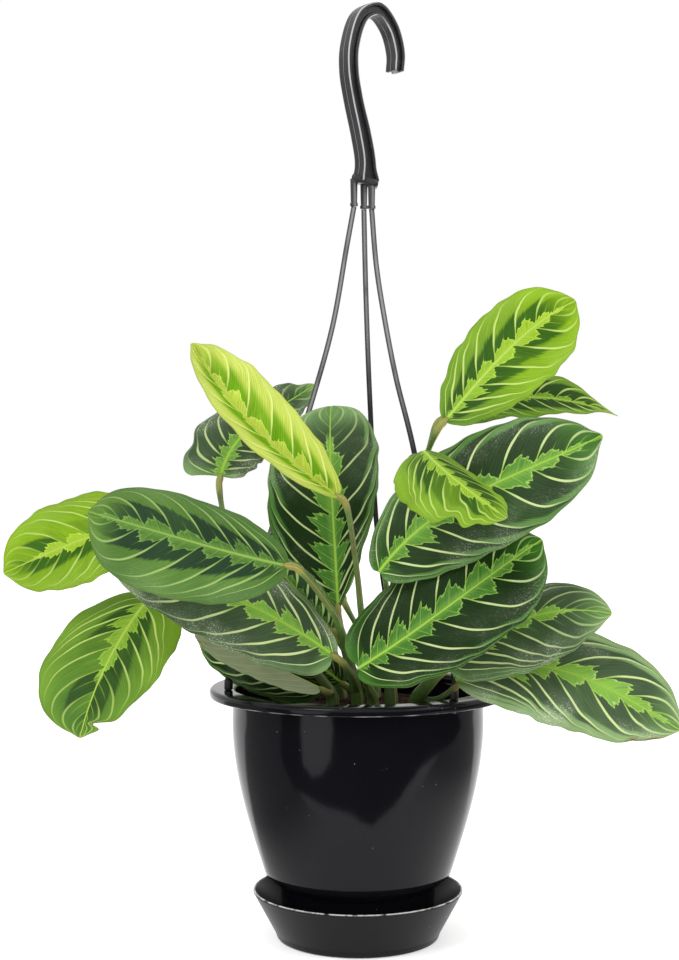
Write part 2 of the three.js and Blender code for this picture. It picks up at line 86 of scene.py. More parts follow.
def skin(name, points, groups, values=None, flat_maps=None, second=0):
    """A smooth mesh object. groups are arrays of corner numbers, values numbers for each point, and
    flat_maps pairs of numbers for each corner. The last `second` faces take the second material."""
    sizes = np.concatenate([np.full(len(faces), faces.shape[1]) for faces in groups])
    corners = np.concatenate([faces.ravel() for faces in groups]).astype(np.int32)
    mesh = bpy.data.meshes.new(name)
    mesh.vertices.add(len(points))
    mesh.vertices.foreach_set("co", (np.asarray(points) * MM).ravel())
    mesh.loops.add(len(corners))
    mesh.loops.foreach_set("vertex_index", corners)
    mesh.polygons.add(len(sizes))
    mesh.polygons.foreach_set("loop_start", (np.cumsum(sizes) - sizes).astype(np.int32))
    is_second = np.arange(len(sizes)) >= len(sizes) - second
    mesh.polygons.foreach_set("material_index", is_second.astype(np.int32))
    mesh.update(calc_edges=True)
    for key, numbers in (flat_maps or {}).items():
        mesh.uv_layers.new(name=key).data.foreach_set("uv", numbers.astype(np.float32).ravel())
    for key, numbers in (values or {}).items():
        measure = mesh.attributes.new(key, "FLOAT", "POINT")
        measure.data.foreach_set("value", numbers.astype(np.float32).ravel())
    mesh.shade_smooth()
    piece = bpy.data.objects.new(name, mesh)
    bpy.context.scene.collection.objects.link(piece)
    return piece


def settle(piece, node, slot, *finishes):
    """Gives a piece its finishes, and puts it in the place of a node of the fixed model."""
    for finish in finishes:
        piece.data.materials.append(finish)
    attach(piece, "root")
    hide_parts(node)
    return piece


print("a grid of 3 by 4 points has", len(lattice(3, 4)), "squares")

# %% [markdown]
# The finishes are node trees. Wiring nodes by hand takes many lines, so a small recipe class gives
# each kind of step a short name. Its steps return a socket, and sockets and plain numbers can be mixed
# freely. Colours are written as they look on a screen and made linear, as the shader needs them.

# %% A short way to write a finish
def tone(text):
    """A screen colour such as 6c9359 as linear red, green, blue and a full alpha."""
    screen = np.array([int(text[k:k + 2], 16) for k in (0, 2, 4)]) / 255
    linear = np.where(screen <= 0.04045, screen / 12.92, ((screen + 0.055) / 1.055) ** 2.4)
    return (*linear.tolist(), 1.0)


class Finish:
    """A material with one shader, and short names for the nodes that feed it. A step that works out a
    number or a colour returns its socket."""

    def __init__(self, name, roughness=0.5, gloss=0.5):
        self.material = bpy.data.materials.new(name)
        self.material.use_nodes = True
        self.tree = self.material.node_tree
        self.shader = self.tree.nodes["Principled BSDF"]
        self.shader.inputs["Roughness"].default_value = roughness
        self.shader.inputs["Specular IOR Level"].default_value = gloss

    def feed(self, socket, value):
        """Links a socket to another one, or sets it to a plain number or colour."""
        if isinstance(value, bpy.types.NodeSocket):
            self.tree.links.new(value, socket)
        else:
            socket.default_value = value

    def node(self, kind, inputs=None, **settings):
        """A node of a kind, with its settings made and its inputs fed."""
        node = self.tree.nodes.new("ShaderNode" + kind)
        for key, value in settings.items():
            setattr(node, key, value)
        for key, value in (inputs or {}).items():
            self.feed(node.inputs[key], value)
        return node

    def calc(self, operation, *values):
        """One step of arithmetic, by the name of the operation."""
        return self.node("Math", dict(enumerate(values)), operation=operation).outputs[0]

    def times(self, first, second):
        """The product of two numbers."""
        return self.calc("MULTIPLY", first, second)

    def times_plus(self, value, factor, extra):
        """A number times a factor, plus a further one."""
        return self.calc("MULTIPLY_ADD", value, factor, extra)

    def blend(self, share, first, second, how="MIX"):
        """The first colour where the share is 0, the second where it is 1."""
        node = self.node("Mix", {0: share, 6: first, 7: second}, data_type="RGBA", blend_type=how)
        return node.outputs[2]

    def between(self, value, low, high):
        """A soft step from 0 at low to 1 at high. With the larger number first it falls instead."""
        given = {"Value": value, "From Min": low, "From Max": high}
        return self.node("MapRange", given, interpolation_type="SMOOTHSTEP").outputs[0]

    def place(self):
        """The place on the piece, in metres."""
        return self.node("TexCoord").outputs["Object"]

    def height(self):
        """The height above the floor, in metres."""
        return self.node("SeparateXYZ", {0: self.place()}).outputs[2]

    def noise(self, where, scale, detail=2.0, roughness=0.5):
        """Clouds of numbers about 0.5. The larger the scale, the smaller the clouds."""
        given = {"Vector": where, "Scale": scale, "Detail": detail, "Roughness": roughness}
        return self.node("TexNoise", given).outputs[0]

    def value(self, name):
        """A measure that the mesh holds for each of its points."""
        return self.node("Attribute", attribute_name=name).outputs["Fac"]

    def along_curve(self, value, points):
        """The height of a bent line through the points, at a value from 0 to 1."""
        node = self.node("FloatCurve", {"Value": value})
        line = node.mapping.curves[0].points
        for x, y in points[1:-1]:
            line.new(x, y)
        for point, (x, y) in zip(sorted(line, key=lambda p: p.location[0]), points):
            point.location = (x, y)
            point.handle_type = "VECTOR"
        node.mapping.update()
        return node.outputs[0]

    def bump(self, height, distance, strength=1.0):
        """Fine relief that only the shader knows, up to `distance` metres deep."""
        given = {"Height": height, "Distance": distance, "Strength": strength}
        self.feed(self.shader.inputs["Normal"], self.node("Bump", given).outputs[0])

    def done(self, colour):
        """The material itself, once its colour is fed."""
        self.feed(self.shader.inputs["Base Color"], colour)
        return self.material


print("6c9359 in linear light:", [round(part, 3) for part in tone("6c9359")[:3]])

# %% [markdown]
# The camera stands level, in front of the plant and a little to its left, with the horizon just above
# the middle of the picture. Tilting it down would make the upright sides lean, so the frame is moved by
# the lens shift instead, and a long lens from nearly a metre away keeps the pot's sides straight.

# %% Camera
CAMERA = np.array([-10.25, -936.0, 266.5])
LENS = 63.0
HORIZON_DROP = 23 / 960
VIEW_REACH = 100

lens = bpy.data.cameras.new("camera")
lens.lens = LENS
lens.shift_y = -HORIZON_DROP
lens.clip_end = VIEW_REACH
camera = bpy.data.objects.new("camera", lens)
camera.location = CAMERA * MM
camera.rotation_euler = (np.pi / 2, 0, 0)
bpy.context.scene.collection.objects.link(camera)
bpy.context.scene.camera = camera
bpy.context.scene.view_settings.view_transform = "Standard"
print("camera at", camera.location[:], "with a lens of", LENS, "mm")

# %% [markdown]
# A white floor that is only lit turns grey in the picture, so this one also glows a little, like a light
# table, and stays white under the plant. On it lie sheets that only reflections see. The black one in
# front is a painted shadow: it lies where the plant's shadow would fall on the floor in front, and gives
# the pot's belly its dark pointed patch above the paler foot. The ones at the sides, which turn from
# white to grey away from the pot, are painted reflections that keep its edges dark.

# %% Floor, painted shadow and painted reflections
WHITE = (1, 1, 1, 1)
FLOOR_HALF = 6000
FLOOR_GLOW = 0.4
PAINTED_SHADOW_OUTLINE = [(-233, -133), (-200, -130), (-143, -150), (-92, -161), (-53, -168), (-18, -167), (8, -155),
              (29, -145), (55, -155), (93, -162), (150, -178), (240, -196), (306, -190), (440, -128),
              (620, 30), (2200, 900), (2200, -2400), (-900, -2400), (-340, -820), (-152, -360),
              (-146, -249), (-174, -213), (-256, -236), (-680, -560), (-2200, -1700), (-2200, -760),
              (-819, -284), (-525, -183), (-318, -134)]
LEFT_REFLECTION_CARD = [(-40, -140), (-40, 50), (-150, 110), (-600, 340), (-2200, 1000), (-2200, -760), (-819, -284),
             (-525, -183), (-318, -134)]
RIGHT_REFLECTION_CARD = [(60, -140), (60, 60), (150, 120), (600, 420), (2200, 1300), (2200, 900), (620, 30),
              (440, -128), (300, -150)]
PAINTED_SHADOW_HEIGHT, REFLECTION_CARD_HEIGHT = 1, 0.5
LEFT_FADE, RIGHT_FADE = (-0.05, -0.18), (0.09, 0.35)


def flat_sheet(name, outline, height, finish):
    """A level many-cornered sheet that belongs to the studio and not to the plant."""
    corners = np.column_stack([np.array(outline, float), np.full(len(outline), height)])
    sheet = skin(name, corners, [np.arange(len(corners))[None]])
    sheet.data.materials.append(finish)
    return sheet


def floor_white():
    """Matt white with a faint glow."""
    made = Finish("floor_white", roughness=0.9, gloss=0.1)
    made.shader.inputs["Emission Color"].default_value = WHITE
    made.shader.inputs["Emission Strength"].default_value = FLOOR_GLOW
    return made.done(tone("fafafa"))


def painted_reflection_grey():
    """A painted reflection: as white and as bright as the floor near the pot, and a dull grey further to
    each side.
    """
    made = Finish("painted_reflection_grey", roughness=0.9, gloss=0.0)
    sideways = made.node("SeparateXYZ", {0: made.place()}).outputs[0]
    away = made.calc("MAXIMUM", made.between(sideways, *LEFT_FADE), made.between(sideways, *RIGHT_FADE))
    made.shader.inputs["Emission Color"].default_value = WHITE
    made.feed(made.shader.inputs["Emission Strength"], made.times_plus(away, -FLOOR_GLOW, FLOOR_GLOW))
    return made.done(made.blend(away, tone("fafafa"), tone("9c9c9c")))


floor_outline = np.array([(-1, -1), (1, -1), (1, 1), (-1, 1)]) * FLOOR_HALF
flat_sheet("floor", floor_outline, 0, floor_white())
# The painted shadow: a black sheet seen only in reflections, where the plant's shadow would lie.
black = Finish("painted_shadow_black", roughness=0.9, gloss=0.0).done(tone("000000"))
# Painted reflections for the pot's sides: sheets seen only in reflections, white near the pot, grey further
# out.
grey = painted_reflection_grey()
CARDS = {"painted_shadow_front": (PAINTED_SHADOW_OUTLINE, PAINTED_SHADOW_HEIGHT, black), "painted_reflection_left": (LEFT_REFLECTION_CARD, REFLECTION_CARD_HEIGHT, grey),
         "painted_reflection_right": (RIGHT_REFLECTION_CARD, REFLECTION_CARD_HEIGHT, grey)}
for name, (outline, height, finish) in CARDS.items():
    card = flat_sheet(name, outline, height, finish)
    card.visible_camera = False
    card.visible_diffuse = False
    card.visible_shadow = False
print("cards on the floor:", len(CARDS))

# %% [markdown]
# The light is that of a white photo tent: a bright even surround, a broad lamp high on the left and a
# weaker one on the right. Small lamps would throw hard shadows and give the gloss hard spots, so these
# are broad area lights, and the surround fills what they leave dark.

# %% Lamps and surround
LAMP_SIZE = 0.7
LAMP_TARGET = np.array([0, 0, 0.2])
LAMPS = {"lamp_left": ((-0.9, -1.3, 1.5), 10), "lamp_right": ((1.2, -0.9, 1.0), 3)}

surround = bpy.data.worlds.new("white_tent")
surround.use_nodes = True
surround.node_tree.nodes["Background"].inputs["Color"].default_value = WHITE
surround.node_tree.nodes["Background"].inputs["Strength"].default_value = 1.0
bpy.context.scene.world = surround


def lamp(name, place, power):
    """A square lamp at a place in metres, turned to look at the plant."""
    light = bpy.data.lights.new(name, "AREA")
    light.size = LAMP_SIZE
    light.energy = power
    holder = bpy.data.objects.new(name, light)
    holder.location = place
    away = unit(np.array(place, float) - LAMP_TARGET)
    flat = np.hypot(away[0], away[1])
    holder.rotation_euler = (np.arctan2(flat, away[2]), 0, np.arctan2(away[0], -away[1]))
    bpy.context.scene.collection.objects.link(holder)


for name, (place, power) in LAMPS.items():
    lamp(name, place, power)
print("lamps:", len(LAMPS))

# %% [markdown]
# Each leaf is one blade on a curved midrib, told by the same few numbers as its solid, in millimetres.
# base and tip are the ends of the midrib, and bow lifts its two inner control points and moves them to
# the right. face is where the upper side looks. half is the width of each half, the left one first, wide
# moves its widest place, round makes the outline blunter and point the tip sharper. left and right are
# the slopes of the halves in degrees, at the midrib and at the margin. wave is the height and the number
# of the margin's ripples, edge the depth of its unevenness, lobe how far the base reaches back, and tail
# how far the tip is drawn out. A flaw that the eye catches, such as a nick, is a bite: its side, its
# place along the leaf, its depth and its spread. scarred says whether a bite has a brown edge.
#
# The markings differ from leaf to leaf as well. look names the family of tones. marks gives the size of
# the light band, the reach and the strength of the dark blotches, and how young the leaf looks at its
# base and at its tip. fade is where the band begins to end, veins the number of side veins, slant how
# far they lean to the tip, and veining how broad and bright they are. joint is 1 where the stalk comes
# from behind the blade, 0 where it is in line with the midrib, and may lie between.

# %% The leaves
LEAVES = [
    {"name": "leaf_lemon", "look": "lemon", "base": (-11, -62, 246), "tip": (-87, -50, 324),
     "face": (20, -90, 30), "half": (22, 22), "wide": (1.05, 1.2), "bow": (3, -9, 3, -10),
     "left": (55, 35), "right": (35, 12), "wave": (1, 4), "edge": 0.8, "marks": (0.75, 0.55, 1, 0.5, 0.9),
     "veining": 0.7, "tail": 3},
    {"name": "leaf_back_left", "look": "dark", "base": (-78, 20, 255), "tip": (-26, 40, 308),
     "face": (-10, -90, 30), "half": (27, 21), "wide": (0.42, 0.7), "bow": (2, -17, 4, -2),
     "left": (10, -30), "right": (10, -20), "wave": (2.2, 5), "point": 0.7, "edge": 3,
     "marks": (0.65, 1.2, 1.1, 0.7, 0.8), "fade": 0.4, "veining": 0.6, "veins": 9, "slant": 0.4},
    {"name": "leaf_far_left", "look": "lime", "base": (-114, -20, 234), "tip": (-188, -40, 205),
     "face": (-20, -85, 50), "half": (26, 31), "wide": (1.1, 1.05), "bow": (4, 0, 4, 0),
     "wave": (0.8, 3), "round": 2.5, "marks": (0.6, 0.42, 0.85, 0.8, 1), "fade": 0.6, "veining": 0.6},
    {"name": "leaf_front_left", "look": "green", "base": (-36, -95, 212), "tip": (-134, -100, 239),
     "face": (5, -90, 30), "half": (31, 32), "wide": (1.3, 1.3), "bow": (3, -3, 3, -1),
     "right": (-20, -45), "round": 2.5, "edge": 0.6, "marks": (0.6, 0.5, 1, 0, 0.4), "veining": 0.65,
     "bites": [(1, 0.985, 0, 0.02)]},
    {"name": "leaf_mid_left", "look": "dark", "base": (-13, -62, 163), "tip": (-127, -70, 211),
     "face": (-10, -80, 50), "half": (27, 25), "wide": (0.8, 1.2), "bow": (5, 9, 5, 9),
     "marks": (0.7, 1.2, 1.1, 0.8, 1), "lobe": 6, "slant": 0.95},
    {"name": "leaf_low_left", "look": "lime", "base": (-113, -25, 191), "tip": (-143, -75, 124),
     "face": (-20, -70, 30), "half": (31, 37), "wide": (0.7, 1.12), "bow": (4, 4, 6, 4),
     "marks": (0.6, 0.45, 0.8, 0.5, -0.1), "fade": 0.45, "edge": 0.6, "veining": 0.75,
     "bites": [(0, 0.925, 8, 0.02)]},
    {"name": "leaf_rolled", "look": "dark", "base": (-20, -36, 142), "tip": (-87, -28, 170),
     "face": (-40, -25, -85), "half": (25, 20), "bow": (-1.5, 0, -1.5, 0),
     "left": (40, 35), "right": (40, 35), "wave": (0, 3),
     "bites": [(0, 0.97, 2, 0.03), (1, 0.95, 2, 0.03)]},
    {"name": "leaf_centre", "look": "dark", "base": (-11, -38, 186), "tip": (-15, -2, 294),
     "face": (-10, -95, 30), "half": (36, 27), "wide": (1, 1.9), "bow": (4, 0, 30, 0),
     "left": (8, -15), "right": (8, -20), "point": 0.48, "marks": (1, 0.9, 1.1, -0.9, 1.1), "fade": 0.6,
     "veining": 0.7, "lobe": 12},
    {"name": "leaf_inner_left", "look": "green", "base": (-15, -46, 175), "tip": (-47, -50, 213),
     "face": (-20, -90, 30), "half": (13, 12), "bow": (3, 0, 3, 0), "wave": (0.5, 3)},
    {"name": "leaf_small_lime", "look": "lime", "base": (32, -90, 270), "tip": (69, -128, 238),
     "face": (-10, -80, 50), "half": (27, 27), "wide": (1.1, 0.75), "bow": (8, 5, 8, 5),
     "left": (-38, -65), "right": (5, -20), "wave": (0.8, 4), "edge": 1.5,
     "marks": (0.5, 0.55, 0.9, 0.42, 0.75), "veining": 0.5, "scarred": 0, "joint": 1,
     "bites": [(1, 0.74, 5, 0.06), (1, 0.88, 3.5, 0.035)]},
    {"name": "leaf_top_right", "look": "lime", "base": (44, -70, 285), "tip": (111.5, -60, 347.5),
     "face": (-10, -90, 30), "half": (24, 26.5), "wide": (1.45, 1.35), "bow": (3, -3, 6, -7),
     "round": 2.4, "wave": (1, 4), "edge": 1.3, "marks": (0.65, 0.5, 1, 0.1, 1.1), "fade": 0.75,
     "veining": 0.7},
    {"name": "leaf_twisted", "look": "lime", "base": (46, -40, 287), "tip": (139, -20, 290),
     "face": (0, -70, 70), "half": (18, 16), "wide": (0.9, 0.8), "bow": (14, -8, 12, -4),
     "left": (20, 10), "right": (10, -10), "point": 1.2, "marks": (0.6, 0.7, 1.2, 0, 0.4), "veins": 10,
     "veining": 0.7, "tail": 3},
    {"name": "leaf_upper_right", "look": "dark", "base": (9.7, -70, 206.8), "tip": (119.5, -87, 276),
     "face": (-5, -95, 10), "half": (28.5, 31.5), "wide": (1.2, 1), "bow": (3, -18, 8, -4),
     "right": (5, -8), "marks": (0.7, 0.9, 1, 0.15, 0.3), "veining": 0.85, "lobe": 8, "joint": 1,
     "slant": 0.72, "tail": 3.5},
    {"name": "leaf_front_right", "look": "dark", "base": (-1, -75, 158), "tip": (91, -86, 224),
     "face": (0, -78, 62), "half": (36, 32), "wide": (0.95, 1.3), "bow": (4, 5, 6, 2),
     "left": (0, -20), "round": 2.6, "marks": (0.8, 1.05, 1.1, -0.4, 0), "veining": 0.75, "lobe": 13,
     "joint": 1, "slant": 0.68},
    {"name": "leaf_mid_right", "look": "dark", "base": (45, -64, 158), "tip": (127, -80, 187),
     "face": (0, -80, 50), "half": (27, 28), "bow": (6, -10, 8, -14), "left": (-10, -50),
     "marks": (0.65, 1.05, 1, 0.6, 0.9), "fade": 0.6, "veining": 0.8, "joint": 0.8, "slant": 1},
    {"name": "leaf_low_right", "look": "dark", "base": (50, -62, 150), "tip": (161, -85, 129),
     "face": (10, -80, 60), "half": (31, 32), "wide": (1.1, 1), "bow": (8, -30, 6, -12),
     "marks": (0.75, 0.8, 1, 1, 1.3), "joint": 1, "slant": 1.1,
     "bites": [(1, 0.94, 0.8, 0.02), (1, 0.87, 0.6, 0.012)]},
    {"name": "leaf_low_inner", "look": "dark", "base": (-8, -14, 142), "tip": (-43, -13, 170),
     "face": (0, -95, 10), "half": (13, 13), "bow": (1, 0, 1, 0), "left": (8, -12),
     "right": (8, -12), "wave": (0.5, 3), "marks": (0.3, 1.2, 1.1, 0, 0.2), "veining": 0.1},
    {"name": "leaf_rear_right", "look": "dark", "base": (22, 32, 186), "tip": (98, 88, 212),
     "face": (10, 60, 70), "half": (27, 27), "wide": (1, 1.1), "bow": (8, 0, 10, 0),
     "left": (10, -20), "right": (10, -20)},
    {"name": "leaf_rear_left", "look": "green", "base": (-22, 24, 184), "tip": (-104, 74, 204),
     "face": (-10, 60, 70), "half": (27, 27), "wide": (1.1, 1), "bow": (6, 0, 10, 0),
     "left": (10, -20), "right": (10, -20)},
    {"name": "leaf_rear_middle", "look": "lime", "base": (-8, 30, 186), "tip": (-30, 90, 234),
     "face": (0, 80, 50), "half": (21, 21), "bow": (6, 0, 10, 0), "left": (15, -15),
     "right": (15, -15)},
    {"name": "leaf_rear_low_right", "look": "dark", "base": (36, 36, 152), "tip": (88, 94, 131),
     "face": (20, 30, 90), "half": (25, 25), "bow": (14, 0, 14, 0), "left": (10, -20),
     "right": (10, -20)},
    {"name": "leaf_rear_low_left", "look": "dark", "base": (-26, 42, 152), "tip": (-58, 106, 118),
     "face": (-10, 40, 90), "half": (25, 25), "bow": (16, 0, 16, 0), "left": (10, -20),
     "right": (10, -20)},
]
USUAL = {"wide": (1, 1), "left": (5, -15), "right": (5, -15), "wave": (1, 3), "round": 2.2, "point": 0.55,
         "edge": 1.2, "lobe": 2.5, "tail": 1.5, "bites": (), "scarred": 1, "veins": 7.5, "slant": 0.8,
         "veining": 1, "marks": (0.85, 0.88, 1, 0, 0.25), "fade": 0.8, "joint": 0}
LEAVES = [{**USUAL, **leaf} for leaf in LEAVES]
print(len(LEAVES), "leaves")

# %% [markdown]
# The outline of a blade. Drawing 22 outlines by hand would be slow and stiff, so one formula gives the
# half-width at any share of the midrib's length, and each leaf's own numbers bend it. The midrib is a
# cubic curve, the simplest one that can bend twice.

# %% The midrib and the outline
SMALL_END = 1.3
RIGHT_LATER = 0.37
LEAF_LATER = 0.013
CALM_WIDTH = 12
FIRST_WAVE, SECOND_WAVE = 5.3, 9.1


def midrib_of(leaf):
    """The four control points of the midrib's cubic, and the direction to the right of it."""
    base, tip = np.array(leaf["base"], float), np.array(leaf["tip"], float)
    along = unit(tip - base)
    face = np.array(leaf["face"], float)
    face = unit(face - (face @ along) * along)
    right = np.cross(along, face)
    up1, right1, up2, right2 = leaf["bow"]
    first = base + (tip - base) / 3 + face * up1 + right * right1
    second = base + (tip - base) * 2 / 3 + face * up2 + right * right2
    return (base, first, second, tip), right


def cubic(ends, t):
    """Points and directions of a cubic at the shares t, which is a column. Each control point counts by
    a product of t and 1 - t, three factors in all."""
    a, b, c, d = ends
    s = 1 - t
    points = s**3 * a + 3 * s * s * t * b + 3 * s * t * t * c + t**3 * d
    return points, unit(s * s * (b - a) + 2 * s * t * (c - b) + t * t * (d - c))


def half_width(leaf, t, side):
    """A swollen ellipse with its widest place moved along by a power of t, a small end at each tip, an
    uneven margin from two sines, and bites: dips shaped like a bell."""
    share = t ** leaf["wide"][side]
    power = np.where(share < 0.5, 1 / leaf["round"], leaf["point"])
    rise = np.maximum(0, 1 - np.abs(2 * share - 1) ** leaf["round"]) ** power
    width = np.hypot(leaf["half"][side] * rise, SMALL_END - t)
    later = RIGHT_LATER * side + LEAF_LATER * leaf["base"][0]
    uneven = 0.6 * np.sin(2 * np.pi * (FIRST_WAVE * t + later))
    uneven = uneven + 0.4 * np.sin(2 * np.pi * (SECOND_WAVE * t + 1.7 * later))
    width = width - leaf["edge"] * (1 - uneven) / 2 * np.minimum(1, width / CALM_WIDTH)
    for where, place, depth, spread in leaf["bites"]:
        width = width - (where == side) * depth * np.exp(-(((t - place) / spread) ** 2))
    return width


def scars(leaf, t, across):
    """How brown each point is: bells at the bites, only close to the margin."""
    brown = 0 * t * across
    for where, place, _, spread in leaf["bites"]:
        near = np.exp(-(((t - place) / (1.6 * spread)) ** 2)) * np.exp(-(((1 - np.abs(across)) / 0.1) ** 2))
        brown = brown + near * ((across >= 0) == where)
    return leaf["scarred"] * np.clip(brown, 0, 1)


def by_side(across, pair):
    """The first of a pair left of the midrib, and the second on it and to its right."""
    return np.where(across >= 0, pair[1], pair[0])


widest = [max(half_width(leaf, np.linspace(0, 1, 200), side).max() for side in (0, 1)) for leaf in LEAVES]
print("widest halves, in mm:", [round(float(width), 1) for width in widest])

# %% [markdown]
# The side veins of a prayer plant leave the midrib at about 45 degrees and bend until they run along
# the margin. One law gives that family: a vein that leaves the midrib at a share t0 of its length is,
# further along at t, at the fraction tanh((t - t0) / tau) of the half-width. Turned round, every point of
# the blade knows the t0 of the vein it would lie on. That number, counted in veins, is called the phase,
# and the markings, the pleats and the stripes all read it.

# %% The family of side veins
SATURATION = 0.97
SWAY = 0.035
VEIN_SHIFT = (0.0, 0.15)
BASE_STRETCH, BASE_TAU = 0.3, 0.4
CROWDING, CROWD_REACH = 0.9, 0.1
PLEAT = 0.65
WIDE_GAP = 8


def vein_field(leaf, t, across, width, length, side):
    """The phase of each point, and the distance in mm between veins there. Towards the base tau shrinks,
    so the veins leave the midrib more squarely, and they crowd together. SATURATION keeps the inverse of
    tanh finite at the margin."""
    reach = SATURATION * np.abs(across)
    near = np.clip(t / BASE_STRETCH, 0, 1)
    tau = leaf["slant"] * np.mean(leaf["half"]) / length
    tau = tau * (BASE_TAU + (1 - BASE_TAU) * near * near * (3 - 2 * near))
    start = t - tau * np.arctanh(reach)
    crowd = np.exp(-np.maximum(start, -0.05) / CROWD_REACH)
    place = start + SWAY * np.sin(2 * np.pi * start) + CROWDING * CROWD_REACH * (1 - crowd)
    pace = leaf["veins"] * (1 + 2 * np.pi * SWAY * np.cos(2 * np.pi * start) + CROWDING * crowd)
    sideways = tau * SATURATION / (1 - reach**2) / width
    return leaf["veins"] * place + VEIN_SHIFT[side], 1 / (pace * np.hypot(1 / length, sideways))


def pleats(phase, gap, across):
    """Low ribs between the veins, as the root of the phase's sine. They fade out at the midrib, at the
    margin, before the first vein, and where the veins stand close."""
    calm = np.clip(np.abs(across) / 0.15, 0, 1) * np.clip((1 - np.abs(across)) / 0.12, 0, 1)
    rib = PLEAT * (np.sqrt(np.abs(np.sin(np.pi * phase))) - 0.6) * calm * np.clip(gap / WIDE_GAP, 0, 1)
    return rib * np.clip(phase, 0, 1)


print("a vein is at", [round(float(np.tanh(further)), 2) for further in (0.5, 1, 2)], "of the half-width")

# %% [markdown]
# Now the blade itself. A plane with a Solidify modifier would do for a flat leaf, but here each half
# curls by its own amount and the margin ripples, so the points are placed directly: along the midrib,
# out along an arc, up or down by the pleats, and half a thickness to each side. A strip of faces joins
# the two sides at the margin. What the finish will read is stored with the points. Only the phase goes
# into a flat map, because it jumps at the midrib, where the two halves share their points.

# %% A blade as a closed mesh
GRID = (112, 60)
THICKNESS, THINNER_OUT = 0.5, 0.4
FIRST_STEP = 0.3
PHASE_BASE = (20.0, 60.0)
FADE_LENGTH = 0.25
LOBE_LENGTH, TAIL_LENGTH, TAIL_HALF = 0.06, 0.03, 4
GROOVE = 0.3
RIDGE, RIDGE_HALF, RIDGE_LOSS = 0.8, 1.1, 0.8


def curled(leaf, t, across, reach, shrink):
    """Each half as an arc from one slope to another. On an arc the run is the change of the slope's sine
    over the bend, and the rise that of its cosine. The margin's ripple grows with the cube of across."""
    begin = np.radians(by_side(across, (leaf["left"][0], leaf["right"][0])))
    end = np.radians(by_side(across, (leaf["left"][1], leaf["right"][1])))
    bend = (end - begin) / by_side(across, leaf["half"]) + 1e-9
    slope = begin + bend * reach
    run = (np.sin(slope) - np.sin(begin)) / bend
    height, count = leaf["wave"]
    ripple = np.sin(2 * np.pi * (count * t + RIGHT_LATER * (across >= 0)))
    rise = (np.cos(begin) - np.cos(slope)) / bend
    return run, rise + height * np.abs(across) ** 3 * ripple * np.minimum(1, 2 * shrink), slope


def closed_sheet(rows, columns):
    """The faces of an upper and an under grid with a strip between their margins, and for each corner of
    a face whether the face lies right of the middle column."""
    squares = lattice(rows, columns)
    number = np.arange(rows * columns).reshape(rows, columns)
    around = np.concatenate([number[0, :-1], number[:-1, -1], number[-1, :0:-1], number[:0:-1, 0]])
    beside = np.roll(around, -1)
    below = number.size
    strip = np.stack([around, beside, beside + below, around + below], -1)
    middle = (columns - 1) / 2
    square_right = squares.min(1) % columns >= middle
    strip_right = (around + beside) / 2 % columns >= middle
    right = np.repeat(np.concatenate([square_right, strip_right, square_right]), 4)
    return [squares, strip[:, ::-1], squares[:, ::-1] + below], right


def blade(leaf):
    """The blade's upper and under side as one closed mesh: its points, faces, measures and flat map, and
    how many faces the under side has."""
    ends, right = midrib_of(leaf)
    length = np.linalg.norm(np.diff(cubic(ends, np.linspace(0, 1, 60)[:, None])[0], axis=0), axis=1).sum()
    rows, columns = GRID
    start = FIRST_STEP / length
    t = start + (1 - start) * (1 - np.cos(np.pi * np.arange(rows + 1)[:, None] / rows)) / 2
    across = np.linspace(-1, 1, columns + 1)[None]
    middle, tangent = cubic(ends, t)
    to_right = unit(right - (tangent @ right)[:, None] * tangent)
    normal = np.cross(to_right, tangent)

    width = by_side(across, [half_width(leaf, t, side) for side in (0, 1)])
    shrink = width / by_side(across, leaf["half"])
    reach = np.abs(across) * width
    run, rise, slope = curled(leaf, t, across, reach, shrink)
    fields = [vein_field(leaf, t, across, width, length, side) for side in (0, 1)]
    phase, gap = (by_side(across, pair) for pair in zip(*fields))

    to_side = to_right[:, None] * np.sign(across)[..., None]
    outward = normal[:, None] * np.cos(slope)[..., None] - to_side * np.sin(slope)[..., None]
    centre = middle[:, None] + to_side * run[..., None] + normal[:, None] * rise[..., None]
    lobe = leaf["lobe"] * across**2 * np.exp(-t / LOBE_LENGTH) * shrink
    tail = leaf["tail"] * np.exp(-(1 - t) / TAIL_LENGTH - (reach / TAIL_HALF) ** 2)
    pleat = pleats(phase, gap, across)
    centre = centre + outward * pleat[..., None] + tangent[:, None] * (tail - lobe)[..., None]
    half_thick = THICKNESS / 2 * (1 - THINNER_OUT * np.abs(across)) + 0 * t
    groove = GROOVE * np.exp(-(reach**2))
    ridge = RIDGE * (1 - RIDGE_LOSS * t) * np.exp(-((reach / RIDGE_HALF) ** 2))
    upper = centre + outward * (half_thick - groove)[..., None]
    under = centre - outward * (half_thick + ridge)[..., None]
    points = np.concatenate([upper.reshape(-1, 3), under.reshape(-1, 3)])

    groups, is_right = closed_sheet(rows + 1, columns + 1)
    corners = np.concatenate([faces.ravel() for faces in groups]) % (len(points) // 2)
    phases = [field.ravel()[corners] + base for (field, _), base in zip(fields, PHASE_BASE)]
    shares = np.abs(across + 0 * t).ravel()[corners]
    veins = np.stack([np.where(is_right, phases[1], phases[0]), shares], -1)
    band_size, blotch_reach, blotch, young_base, young_tip = leaf["marks"]
    measures = {"vein_gap": gap, "along": t, "out_mm": reach, "scar": scars(leaf, t, across),
                "band_size": band_size, "blotch_reach": blotch_reach, "blotch": blotch,
                "veining": leaf["veining"], "young": young_base + (young_tip - young_base) * t,
                "past_fade": np.clip((t - leaf["fade"]) / FADE_LENGTH, 0, 1)}
    values = {key: np.tile((numbers + 0 * across * t).ravel(), 2) for key, numbers in measures.items()}
    return points, groups, values, {"veins": veins}, len(groups[-1])


